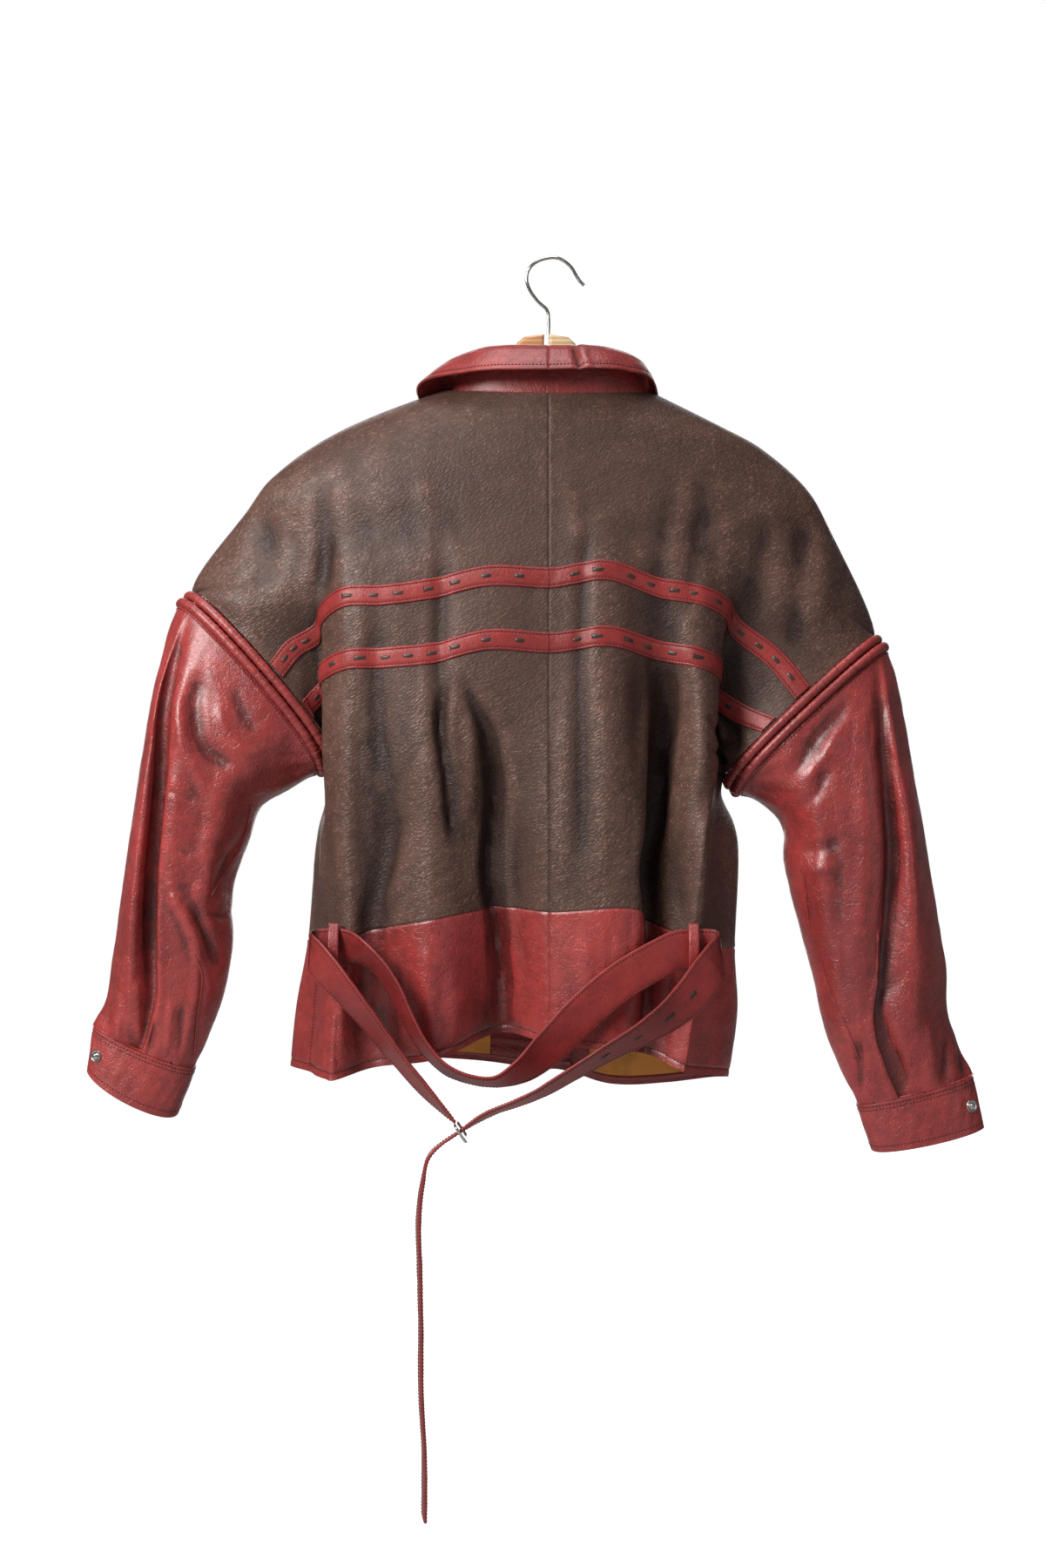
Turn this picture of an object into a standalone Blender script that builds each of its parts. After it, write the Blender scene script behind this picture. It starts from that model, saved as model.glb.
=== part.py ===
"""A worn leather jacket in two colours, hung by the collar on a wooden coat hanger.

Run it with: blender --background --python part.py

The frame is right-handed, in metres, with +Z up. The origin is the inner top of the hanger's hook, where a
rail or a wall hook carries it. +X is the wearer's right and +Y the wearer's front, so the back of the jacket
faces -Y. Sizes below are in millimetres, and MM turns them into metres when a mesh is made.
"""

import math

import bmesh
import bpy
import numpy as np
from mathutils import Vector

MM = 0.001

# Driving dimensions of the leather and of the seams.
WALL = 2.0
CUFF_WALL = 2.4
STRIP_WALL = 1.3
LINING_WALL = 1.0
SEAM_GAP = 0.5
HALF_GAP = SEAM_GAP / 2

# Trim and fittings.
ROLL_RADIUS = 4.8
ROLL_START = {"left": 0.9, "right": 0.35}
STRIP_WIDTH = 20.0
STRIP_LIFT = 1.8
STRIP_END = 1.6
BELT_WIDTH = 38.0
BELT_WALL = 3.0
LOOP_WIDTH = 10.0
LOOP_WALL = 2.0
SNAP_RADIUS = 6.4
HOOK_WIRE = 1.7
BOARD = 13.0
BOARD_ROUND = 4.0

# The back and the two fronts are rows of points, from the neck to the hem. Each row has a name and a place,
# which is its height below the hook at the centre of the back, so a step in place is about 1 mm of leather.
ROWS = {
    "neck": 141,
    "yoke_high": 160,
    "yoke_low": 190,
    "shoulder": 235,
    "tip": 270,
    "upper_arm": 298,
    "strip_high": 324,
    "strip_low": 387,
    "under": 440,
    "armpit": 500,
    "waist": 570,
    "band_top": 648,
    "band_mid": 715,
    "hem": 777,
}
ROW_PLACES = list(ROWS.values())

# Places of the sixteen columns of the back, from the wearer's left side seam to the right one. The ninth is
# the centre seam. Those of a front run from its side seam to the overlap past the centre.
BACK_PLACES = [0, 28, 52, 84, 112, 150, 198, 258, 312, 386, 426, 466, 492, 520, 548, 580]
CENTRE_COLUMN = 8
FRONT_PLACES = [0, 40, 92, 150, 220, 290, 310]
CENTRE_FRONT = 5
LAP = 20.0
LAP_LIFT = WALL + 2.6

# The sleeve seams run from the top of the arm, over the back and over the front, to the armpit.
TIP = {"left": (-360, 12, -333), "right": (324, 12, -376)}
ARMPIT = {"left": (-216, 6, -499), "right": (172, 0, -518)}
SEAM_BULGE = {"back": 46, "front": 40}
SEAM_BOW = {"left": 14, "right": 9}
ARMPIT_SLACK = 3.0

# How far along its sleeve seam each row ends, on the left and on the right.
SEAM_ROWS = {
    "tip": (0.0, 0.0),
    "upper_arm": (0.30, 0.28),
    "strip_high": (0.523, 0.475),
    "strip_low": (0.674, 0.617),
    "under": (0.84, 0.81),
    "armpit": (1.0, 1.0),
}

# Ends and middle of the rows above the arms: left end, centre back, right end, and centre front.
YOKE = {
    "neck": ((-104, 0, -130), (-3, -50, -141), (100, 0, -133), (0, 52, -200)),
    "yoke_high": ((-172, 5, -154), (-3, -57, -160), (165, 5, -165), (0, 57, -222)),
    "yoke_low": ((-240, 10, -187), (-3, -64, -190), (218, 10, -194), (0, 61, -246)),
    "shoulder": ((-303, 12, -248), (-3, -70, -235), (277, 12, -265), (0, 65, -276)),
}

# The back's own rows. The first and the last point of a row that meets a sleeve come from the sleeve seam.
BACK_ROWS = {
    "tip": [
        (-318, -22, -322), (-262, -34, -306), (-230, -43, -294), (-205, -52, -287), (-165, -60, -281),
        (-118, -67, -275), (-60, -72, -271), (-3, -73, -270), (60, -74, -269), (105, -68, -275),
        (145, -62, -283), (175, -55, -294), (208, -46, -308), (268, -33, -340),
    ],
    "upper_arm": [
        (-296, -36, -352), (-250, -38, -338), (-227, -44, -322), (-205, -58, -313), (-165, -66, -308),
        (-118, -73, -303), (-60, -77, -299), (-3, -76, -298), (60, -79, -296), (105, -72, -304),
        (145, -68, -312), (172, -56, -324), (198, -42, -342), (245, -36, -372),
    ],
    "strip_high": [
        (-254, -30, -389), (-233, -27, -376), (-225, -42, -355), (-205, -62, -342), (-165, -70, -340),
        (-118, -74, -334), (-60, -80, -322), (-3, -79, -324), (60, -83, -318), (105, -70, -333),
        (145, -71, -340), (170, -54, -351), (182, -34, -370), (218, -34, -398),
    ],
    "strip_low": [
        (-239, -26, -444), (-228, -23, -431), (-226, -42, -414), (-203, -66, -403), (-165, -72, -401),
        (-118, -78, -397), (-60, -84, -384), (-3, -82, -387), (62, -87, -382), (105, -66, -394),
        (145, -74, -402), (165, -54, -412), (156, -18, -430), (184, -22, -452),
    ],
    "under": [
        (-224, -14, -475), (-214, -9, -464), (-226, -39, -452), (-204, -66, -446), (-165, -72, -444),
        (-118, -82, -442), (-64, -82, -438), (-3, -84, -440), (66, -88, -437), (106, -50, -444),
        (146, -76, -450), (163, -56, -456), (152, -14, -466), (166, -12, -484),
    ],
    "armpit": [
        (-211, -4, -501), (-209, -16, -500), (-226, -39, -499), (-205, -66, -500), (-165, -70, -500),
        (-117, -85, -500), (-58, -70, -500), (-3, -85, -500), (74, -88, -500), (103, -44, -500),
        (146, -78, -502), (162, -58, -505), (162, -28, -510), (166, -12, -514),
    ],
}
LOWER_BACK_ROWS = {
    "waist": [
        (-229, -16, -570), (-228, -26, -570), (-226, -36, -570), (-220, -47, -570), (-203, -64, -570),
        (-165, -62, -570), (-117, -82, -570), (-52, -58, -570), (-3, -84, -570), (80, -86, -570),
        (95, -40, -570), (130, -68, -572), (146, -78, -573), (152, -74, -574), (156, -67, -575),
        (159, -58, -575),
    ],
    "band_top": [
        (-230, -26, -677), (-226, -36, -677), (-221, -45, -677), (-213, -54, -677), (-197, -64, -675),
        (-176, -54, -667), (-118, -82, -656), (-50, -50, -645), (-3, -80, -648), (80, -85, -645),
        (92, -42, -657), (118, -58, -668), (132, -68, -674), (139, -70, -677), (145, -68, -680),
        (150, -62, -683),
    ],
    "band_mid": [
        (-233, -28, -742), (-229, -38, -742), (-225, -47, -743), (-218, -56, -743), (-206, -64, -742),
        (-176, -42, -736), (-117, -78, -727), (-50, -38, -709), (-3, -74, -714), (76, -80, -716),
        (91, -42, -724), (112, -52, -732), (123, -58, -737), (131, -61, -739), (137, -62, -741),
        (142, -60, -742),
    ],
    "hem": [
        (-238, -30, -808), (-233, -40, -810), (-228, -48, -811), (-222, -56, -812), (-213, -62, -813),
        (-176, -38, -803), (-115, -72, -792), (-50, -28, -769), (-3, -66, -777), (72, -74, -783),
        (90, -44, -788), (107, -48, -794), (116, -54, -799), (122, -58, -802), (127, -60, -804),
        (132, -60, -806),
    ],
}

# The fronts' rows below the shoulder, from beside the side seam to the centre front.
FRONT_ROWS = {
    "left": {
        "tip": [(-325, 42, -322), (-250, 52, -312), (-165, 61, -308), (-80, 68, -310), (0, 69, -312)],
        "upper_arm": [(-280, 47, -356), (-225, 55, -344), (-155, 63, -340), (-76, 69, -341), (0, 71, -342)],
        "strip_high": [(-246, 46, -388), (-205, 54, -378), (-148, 64, -374), (-74, 70, -374), (0, 72, -375)],
        "strip_low": [(-228, 38, -438), (-195, 50, -428), (-142, 64, -424), (-71, 71, -424), (0, 73, -425)],
        "under": [(-217, 34, -474), (-190, 50, -468), (-140, 64, -465), (-70, 71, -465), (0, 73, -465)],
        "armpit": [(-209, 24, -504), (-190, 48, -506), (-140, 63, -508), (-70, 70, -508), (0, 72, -508)],
        "waist": [(-233, 12, -571), (-205, 46, -574), (-142, 62, -577), (-70, 69, -579), (0, 71, -580)],
        "band_top": [(-243, 4, -678), (-218, 42, -683), (-146, 60, -688), (-72, 66, -691), (0, 68, -694)],
        "band_mid": [(-255, 4, -744), (-228, 42, -747), (-150, 58, -750), (-74, 64, -753), (0, 66, -757)],
        "hem": [(-261, 4, -805), (-232, 40, -803), (-152, 55, -802), (-75, 61, -806), (0, 63, -815)],
    },
    "right": {
        "tip": [(292, 40, -362), (225, 50, -340), (150, 60, -322), (75, 67, -313), (0, 69, -312)],
        "upper_arm": [(250, 46, -384), (205, 54, -366), (145, 62, -352), (72, 69, -344), (0, 71, -342)],
        "strip_high": [(222, 44, -410), (190, 52, -396), (140, 63, -384), (70, 70, -377), (0, 72, -375)],
        "strip_low": [(196, 36, -458), (172, 48, -444), (130, 63, -432), (66, 71, -427), (0, 73, -425)],
        "under": [(171, 30, -488), (156, 46, -478), (122, 63, -470), (64, 71, -466), (0, 73, -465)],
        "armpit": [(165, 20, -520), (154, 44, -514), (118, 62, -510), (62, 70, -508), (0, 72, -508)],
        "waist": [(184, -14, -576), (172, 34, -577), (120, 62, -578), (62, 69, -579), (0, 71, -580)],
        "band_top": [(181, -16, -686), (170, 34, -690), (118, 60, -694), (62, 66, -697), (0, 68, -694)],
        "band_mid": [(183, -14, -752), (170, 34, -758), (120, 58, -764), (62, 64, -766), (0, 66, -757)],
        "hem": [(174, -14, -814), (162, 32, -820), (118, 56, -828), (62, 62, -830), (0, 63, -815)],
    },
}

# A sleeve's sections, from its seam to its cuff: outer and inner edge as (x, z), half depth, how far along
# the section the long trough lies, and how deep that trough is.
SLEEVE_SECTIONS = {
    "left": [
        ((-396, -425), (-264, -531), 50, 0.10, 10),
        ((-408, -492), (-289, -546), 52, 0.17, 17),
        ((-419, -560), (-301, -578), 50, 0.23, 20),
        ((-429, -628), (-318, -630), 46, 0.30, 21),
        ((-438, -690), (-319, -692), 43, 0.35, 20),
        ((-447, -743), (-334, -755), 36, 0.43, 16),
        ((-458, -763), (-356, -805), 25, 0.47, 7),
    ],
    "right": [
        ((353, -455), (212, -546), 50, 0.19, 9),
        ((363, -515), (231, -568), 52, 0.24, 12),
        ((374, -577), (233, -605), 50, 0.29, 13),
        ((385, -642), (245, -655), 47, 0.37, 13),
        ((396, -705), (260, -712), 43, 0.50, 12),
        ((400, -765), (279, -786), 37, 0.62, 9),
        ((421, -813), (306, -842), 25, 0.64, 5),
    ],
}
SLEEVE_PLACES = [0, 60, 125, 190, 255, 320, 375, 410]
SLEEVE_CENTRE = 4.0
SLEEVE_TOP_TROUGH = 0.08
SLEEVE_CLEAR = 1.0
SECTION_ROUND = 2.3

# The cuffs: outer and inner corner of the top edge and of the bottom edge, as (x, z), half depth, and how
# far the back of each edge hangs below the straight line between its corners.
CUFFS = {
    "left": (((-459, -763), (-355, -806), 26, 5), ((-465, -804), (-372, -850), 27, 15)),
    "right": (((423, -813), (305, -843), 26, 3), ((434, -864), (320, -889), 27, 5)),
}
CUFF_MOUTH = 7.0
SNAP_TURN = 0.62
SNAP_SAG = -0.4

# The collar, from the wearer's right front round the back to the left front.
COLLAR_FOLD = [
    (12, 57, -192), (50, 46, -160), (78, 22, -126), (85, -6, -108), (52, -36, -95),
    (-3, -43, -94), (-64, -36, -95), (-92, -6, -109), (-82, 22, -126), (-50, 46, -160), (-12, 57, -192),
]
COLLAR_EDGE = [
    (66, 73, -258), (88, 66, -214), (107, 42, -164), (105, -6, -130.5), (72, -60, -120),
    (-3, -72, -121), (-84, -60, -122), (-134, -6, -132.5), (-116, 42, -166), (-92, 66, -214),
    (-66, 73, -258),
]
COLLAR_POINTS = [0, 45, 92, 130, 190, 255, 320, 380, 418, 465, 510]
COLLAR_CENTRE = 5
STAND_WALL = 1.5
STAND_SHARES = (0.0, 0.33, 0.67, 1.0)
STAND_DROP = 6.0
STAND_TUCK = (WALL + 0.9, 2.5)
FALL_ROWS = ((0.02, 1.6), (0.14, 4.0), (0.36, 5.0), (0.68, 3.6), (1.0, 0.8))

# The belt, from its end at the buckle up to the left loop, along the back to the right loop, back down
# through the buckle and on to its free end: a centre line, and the way that its width points at each point.
BELT = [
    ((-94.9, -94, -848.5), (0.1, -0.98, 0.05)),
    ((-120, -94, -822), (0.28, -0.94, 0.2)),
    ((-149, -94, -788), (0.34, -0.90, 0.28)),
    ((-177, -94, -752), (0.42, -0.82, 0.36)),
    ((-199, -94, -725), (0.48, -0.74, 0.46)),
    ((-216, -90, -706), (0.40, -0.55, 0.73)),
    ((-229, -82, -692), (0.18, -0.28, 0.94)),
    ((-235, -75, -686), (0.04, -0.05, 1.0)),
    ((-231, -70, -684), (0, 0, 1)),
    ((-222, -69.5, -683), (0, 0, 1)),
    ((-212, -70, -683), (0, 0, 1)),
    ((-200, -72, -683), (0.1, -0.3, 0.95)),
    ((-186, -79, -687), (0.3, -0.75, 0.6)),
    ((-170, -86, -698), (0.36, -0.88, 0.3)),
    ((-155, -92, -718), (0.38, -0.9, 0.2)),
    ((-141, -95, -746), (0.32, -0.92, 0.2)),
    ((-124, -96, -776), (0.25, -0.93, 0.25)),
    ((-104, -97, -797), (0.12, -0.95, 0.3)),
    ((-78, -97, -808), (0.05, -0.95, 0.3)),
    ((-54, -97, -810), (-0.1, -0.93, 0.35)),
    ((-30, -96, -800), (-0.3, -0.75, 0.6)),
    ((-4, -94, -778), (-0.5, -0.4, 0.8)),
    ((30, -93, -744), (-0.62, -0.15, 0.8)),
    ((66, -91, -714), (-0.55, -0.1, 0.85)),
    ((100, -88, -694), (-0.35, -0.05, 0.95)),
    ((122, -82, -684), (-0.12, 0.0, 1)),
    ((137, -79, -683), (0, 0, 1)),
    ((150, -78, -683), (0, 0, 1)),
    ((159, -79, -684), (0, -0.05, 1)),
    ((163, -84, -687), (-0.1, -0.1, 1)),
    ((158, -92, -694), (-0.4, -0.2, 0.9)),
    ((146, -100, -710), (-0.6, -0.25, 0.76)),
    ((134, -106, -725), (-0.62, -0.35, 0.7)),
    ((114, -112, -744), (-0.5, -0.55, 0.66)),
    ((88, -116, -761), (-0.36, -0.75, 0.55)),
    ((55, -118, -779), (-0.3, -0.86, 0.4)),
    ((20, -116, -800), (-0.3, -0.9, 0.3)),
    ((-10, -112, -818), (-0.25, -0.93, 0.25)),
    ((-38, -106, -831), (-0.15, -0.96, 0.2)),
    ((-58, -101, -839), (-0.2, -0.95, 0.15)),
    ((-72, -97, -847), (-0.2, -0.97, 0.1)),
    ((-88, -94, -858), (-0.1, -0.98, 0.05)),
    ((-104, -93, -868), (-0.1, -0.98, 0.05)),
    ((-118, -92, -881), (-0.14, -0.98, 0.02)),
    ((-125, -92, -908), (-0.18, -0.98, 0)),
    ((-129, -90, -946), (-0.2, -0.98, 0)),
    ((-128, -88, -990), (-0.16, -0.98, 0)),
    ((-127, -86, -1050), (-0.18, -0.98, 0)),
    ((-127, -84, -1110), (-0.2, -0.98, 0)),
    ((-124, -82, -1170), (-0.16, -0.98, 0)),
    ((-124, -81, -1234), (-0.18, -0.98, 0)),
]

# The buckle is a plain ring round the belt: its middle, and the way from there to the bar at the belt's end.
BUCKLE_AT = (-88, -94, -858)
BUCKLE_UP = (-0.56, 0, 0.83)
BUCKLE_SIZE = (46, 19)
BUCKLE_WIRE = 1.5

# Belt loops: where each one stands, its top and bottom ends, and the jacket's face behind it.
LOOPS = {"left": (-212, -659, -707, -65.5), "right": (137, -659, -707, -73.5)}
LOOP_REACH = 12.0

# The boards of the hanger, one half as (x, z) from the joint, with the top edge first.
HANGER_HALF = [
    (0, -75), (20, -78), (27, -84), (31, -97), (50, -115), (84, -136), (104, -148), (130, -154), (162, -165),
    (190, -179), (199, -188), (196, -197), (186, -195), (140, -181), (90, -164), (30, -152), (0, -149),
]
HANGER_MIDDLE = -5.0
HANGER_JOINT = 0.22
HANGER_TURN = 1.3
HANGER_DROOP = {"left": 1.0, "right": 1.12}

# The hook's wire as (x, z), from its seat between the boards round to its free tip.
HOOK = [
    (-3, -74.6), (-2.6, -60), (-3.5, -52), (-14, -41), (-22, -29), (-24.5, -21), (-22.5, -10), (-15, -2.5),
    (-4, 1.4), (7, 1.4), (15, -3), (21, -9), (25, -16), (29, -22), (33, -26),
]

# The stud of a cuff's snap, as (radius, height) from the middle of its foot to its top.
STUD_PROFILE = [
    (0.01, 0), (SNAP_RADIUS, 0), (SNAP_RADIUS, 0.5), (SNAP_RADIUS - 0.8, 1.0), (3.6, 0.8), (2.6, 1.2),
    (2.2, 3.0), (1.6, 3.4), (0.01, 3.5),
]

# The lining and the facing inside the front bands: side, first and last column, and material.
INSIDE_PIECES = {
    "lining_left": ("left", 92, 232, "lining"),
    "facing_left": ("left", 233, 294, "red_leather"),
    "lining_right": ("right", 106, 246, "lining"),
}
INSIDE_TOP = ROWS["band_mid"] - 20
INSIDE_BOTTOM = ROWS["hem"] - 9

COLOURS = {
    "olive_leather": ((0.115, 0.082, 0.062), 0.42, 0.0),
    "red_leather": ((0.235, 0.037, 0.032), 0.38, 0.0),
    "lining": ((0.50, 0.215, 0.035), 0.7, 0.0),
    "wood_pale": ((0.80, 0.60, 0.37), 0.5, 0.0),
    "wood_dark": ((0.74, 0.38, 0.16), 0.5, 0.0),
    "steel": ((0.72, 0.70, 0.66), 0.25, 1.0),
}


def spline_weights(places, samples):
    """A matrix that takes values at the places to a smooth curve's values at the samples."""
    places = np.asarray(places, float)
    span = np.diff(places)
    unit = np.eye(len(places))
    chord = (unit[1:] - unit[:-1]) / span[:, None]
    slope = np.empty_like(unit)
    both = (span[1:] + span[:-1])[:, None]
    slope[1:-1] = (span[1:, None] * chord[:-1] + span[:-1, None] * chord[1:]) / both
    slope[0] = 1.5 * chord[0] - 0.5 * slope[1]
    slope[-1] = 1.5 * chord[-1] - 0.5 * slope[-2]
    samples = np.asarray(samples, float)
    i = np.clip(np.searchsorted(places, samples, side="right") - 1, 0, len(places) - 2)
    h = span[i][:, None]
    t = (samples - places[i])[:, None] / h
    return (
        (2 * t**3 - 3 * t**2 + 1) * unit[i]
        + (t**3 - 2 * t**2 + t) * h * slope[i]
        + (3 * t**2 - 2 * t**3) * unit[i + 1]
        + (t**3 - t**2) * h * slope[i + 1]
    )


def smooth_line(points, per_span):
    """A smooth curve through the points, with per_span samples in each span."""
    points = np.asarray(points, float)
    steps = np.linalg.norm(np.diff(points[:, :3], axis=0), axis=1)
    places = np.concatenate([[0], np.cumsum(steps)])
    return spline_weights(places, stations(places, per_span)) @ points


def stations(places, per_span):
    """Sample places with per_span steps in each span."""
    steps = [np.linspace(a, b, per_span, endpoint=False) for a, b in zip(places[:-1], places[1:])]
    return np.concatenate([*steps, [places[-1]]])


def seam_direction(side):
    """The way that leads from a sleeve seam down the sleeve, square to the seam's own plane."""
    tip, armpit = np.array(TIP[side], float), np.array(ARMPIT[side], float)
    along = armpit - tip
    down = np.array([along[2], 0, -along[0]])
    if down[2] > 0:
        down = -down
    return down / np.linalg.norm(down)


def seam_point(side, face, share, beyond=0.0):
    """A point of a sleeve seam, from 0 at the tip to 1 at the armpit, on the back or the front face."""
    tip, armpit = np.array(TIP[side], float), np.array(ARMPIT[side], float)
    turn = math.pi * share
    swing = math.sin(turn) ** 0.8 if 0 < share < 1 else 0.0
    point = tip + (armpit - tip) * (1 - math.cos(turn)) / 2
    point[1] += SEAM_BULGE[face] * swing * (-1 if face == "back" else 1)
    return point + seam_direction(side) * (beyond - SEAM_BOW[side] * swing)


def beside_seam(side, face, share, beyond):
    """A point that runs along beside the seam, with slack at the armpit."""
    slack = ARMPIT_SLACK * max(-math.cos(math.pi * share), 0) ** 4
    return seam_point(side, face, share, beyond + slack)


def seam_loop(side, count, beyond):
    """A closed ring of points beside the whole seam: down the back and up the front."""
    down = [beside_seam(side, "back", i / count, beyond) for i in range(count)]
    up = [beside_seam(side, "front", 1 - i / count, beyond) for i in range(count)]
    return np.array(down + up)


def arc_row(end, middle, places):
    """Points from an end of a row to its middle, on a quarter of an ellipse."""
    end, middle = np.array(end, float), np.array(middle, float)
    shares = (np.array(places, float) - places[-1]) / (places[0] - places[-1])
    turn = shares * math.pi / 2
    points = np.empty((len(places), 3))
    points[:, 0] = middle[0] + (end[0] - middle[0]) * np.sin(turn)
    points[:, 1] = middle[1] + (end[1] - middle[1]) * (1 - np.cos(turn))
    points[:, 2] = middle[2] + (end[2] - middle[2]) * (1 - np.cos(turn)) ** 0.8
    return points


def back_rows():
    """The back as an array of rows by columns by (x, y, z)."""
    rows = []
    for name in ROWS:
        if name in YOKE:
            left_end, middle, right_end, _ = YOKE[name]
            left = arc_row(left_end, middle, BACK_PLACES[: CENTRE_COLUMN + 1])
            right = arc_row(right_end, middle, BACK_PLACES[: CENTRE_COLUMN - 1 : -1])
            rows.append(np.concatenate([left, right[-2::-1]]))
        elif name in BACK_ROWS:
            ends = [seam_point(side, "back", SEAM_ROWS[name][i]) for i, side in enumerate(("left", "right"))]
            rows.append(np.array([ends[0], *BACK_ROWS[name], ends[1]], float))
        else:
            rows.append(np.array(LOWER_BACK_ROWS[name], float))
    return np.array(rows)


def front_rows(side, back):
    """One front as rows, from its side seam past the centre front to the end of the lap."""
    k = ("left", "right").index(side)
    edge, past = (0, LAP) if side == "left" else (-1, -LAP)
    rows = []
    for i, name in enumerate(ROWS):
        if name in YOKE:
            row = arc_row(YOKE[name][2 * k], YOKE[name][3], FRONT_PLACES[: CENTRE_FRONT + 1])
        else:
            first = seam_point(side, "front", SEAM_ROWS[name][k]) if name in SEAM_ROWS else back[i, edge]
            row = np.array([first, *FRONT_ROWS[side][name]], float)
        rows.append(np.concatenate([row, [row[-1] + (past, 0, 0)]]))
    return np.array(rows)


class Panel:
    """A smooth leather surface through rows of points, with its edges set exactly on the sleeve seams."""

    def __init__(self, rows, places, before, after, seams, edges, outward):
        first, past = before
        last, beyond = after
        self.places = [places[0] - first, *places, places[-1] + last]
        self.columns = places
        self.rows = np.concatenate([past[:, None], rows, beyond[:, None]], axis=1)
        self.seams = seams
        self.edges = edges
        self.outward = outward

    def at(self, heights, columns):
        """Points for each height and each column."""
        down = spline_weights(ROW_PLACES, heights)
        across = spline_weights(self.places, columns)
        points = np.einsum("vr,rck,uc->vuk", down, self.rows, across)
        for side, face, edge in self.seams:
            self.meet_seam(points, down, heights, columns, side, face, edge)
        return points

    def meet_seam(self, points, down, heights, columns, side, face, edge):
        """Shifts the edge beside a sleeve onto the seam, and the leather near it by less and less."""
        on_edge = down @ self.rows[:, 1 if edge == 0 else -2]
        shared = down @ self.edges[side]
        reach = abs(self.columns[edge] - self.columns[2 if edge == 0 else -3])
        near = np.clip(1 - np.abs(np.array(columns) - self.columns[edge]) / reach, 0, 1) ** 2
        ends = [share[("left", "right").index(side)] for share in SEAM_ROWS.values()]
        shares = np.interp(heights, [ROWS[name] for name in SEAM_ROWS], ends)
        for i, height in enumerate(heights):
            on_seam = ROWS["tip"] <= height <= ROWS["armpit"]
            target = seam_point(side, face, shares[i]) if on_seam else shared[i]
            points[i] += near[:, None] * (target - on_edge[i])

    def normals(self, heights, columns):
        """Unit normals that look out of the jacket."""
        step = 0.5
        heights, columns = np.asarray(heights, float), np.asarray(columns, float)
        along = self.at(heights, columns + step) - self.at(heights, columns - step)
        down = self.at(heights + step, columns) - self.at(heights - step, columns)
        normal = np.cross(along, down)
        normal /= np.linalg.norm(normal, axis=2, keepdims=True)
        return normal * self.outward


def wrap_neighbours(back, left, right):
    """For each row, the point past each side seam, so that the leather runs smoothly round the side."""
    beyond = [left[:, 1].copy(), right[:, 1].copy(), back[:, 1].copy(), back[:, -2].copy()]
    for i, name in enumerate(ROWS):
        if name in SEAM_ROWS and name not in ("tip", "armpit"):
            pairs = ((back, 0, 1), (back, -1, -2), (left, 0, 1), (right, 0, 1))
            for past, (rows, edge, inside) in zip(beyond, pairs):
                past[i] = 2 * rows[i, edge] - rows[i, inside]
    return beyond


def make_panels():
    """The back and the two fronts as surfaces."""
    back = back_rows()
    left, right = front_rows("left", back), front_rows("right", back)
    past_left, past_right, before_left, before_right = wrap_neighbours(back, left, right)
    side, lap = FRONT_PLACES[1], FRONT_PLACES[-1] - FRONT_PLACES[-2]
    first, last = BACK_PLACES[1], BACK_PLACES[-1] - BACK_PLACES[-2]
    seams = [("left", "back", 0), ("right", "back", -1)]
    edges = {"left": (back[:, 0] + left[:, 0]) / 2, "right": (back[:, -1] + right[:, 0]) / 2}
    return {
        "back": Panel(back, BACK_PLACES, (side, past_left), (side, past_right), seams, edges, -1),
        "left": Panel(
            left, FRONT_PLACES, (first, before_left), (lap, 2 * left[:, -1] - left[:, -2]),
            [("left", "front", 0)], edges, 1,
        ),
        "right": Panel(
            right, FRONT_PLACES, (last, before_right), (lap, 2 * right[:, -1] - right[:, -2]),
            [("right", "front", 0)], edges, -1,
        ),
    }


def material(slot):
    """The Principled BSDF of a slot, made once."""
    found = bpy.data.materials.get(slot)
    if found:
        return found
    colour, roughness, metallic = COLOURS[slot]
    made = bpy.data.materials.new(slot)
    made.use_nodes = True
    shader = made.node_tree.nodes["Principled BSDF"]
    shader.inputs["Base Color"].default_value = (*colour, 1.0)
    shader.inputs["Roughness"].default_value = roughness
    shader.inputs["Metallic"].default_value = metallic
    return made


def add_object(name, data, slot):
    """Links a mesh or a curve as a named sub-part under the jacket's empty."""
    piece = bpy.data.objects.new(name, data)
    data.materials.append(material(slot))
    bpy.data.collections["leather_jacket"].objects.link(piece)
    piece.parent = bpy.data.objects["jacket_on_hanger"]
    return piece


def move_grid(vertices, points):
    """Moves the vertices of a fresh Blender grid to an array of points."""
    rows, columns = points.shape[:2]
    for vertex in vertices:
        i = round((vertex.co.x + 1) / 2 * (columns - 1))
        j = round((vertex.co.y + 1) / 2 * (rows - 1))
        vertex.co = points[j, i] * MM


def grid_shape(*grids):
    """A bmesh with one Blender grid for each array of points."""
    shape = bmesh.new()
    for points in grids:
        rows, columns = points.shape[:2]
        made = bmesh.ops.create_grid(shape, x_segments=columns - 1, y_segments=rows - 1, size=1.0)
        move_grid(made["verts"], points)
    return shape


def finish_mesh(shape, name):
    """A mesh from the bmesh, which is freed."""
    mesh = bpy.data.meshes.new(name)
    shape.to_mesh(mesh)
    shape.free()
    mesh.shade_smooth()
    return mesh


def add_shell(name, outer, inner, slot):
    """A cloth wall between an outer and an inner grid of points, joined round their edges."""
    shape = grid_shape(outer, inner)
    rims = [edge for edge in shape.edges if edge.is_boundary]
    bmesh.ops.bridge_loops(shape, edges=rims)
    bmesh.ops.recalc_face_normals(shape, faces=shape.faces)
    return add_object(name, finish_mesh(shape, name), slot)


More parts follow.
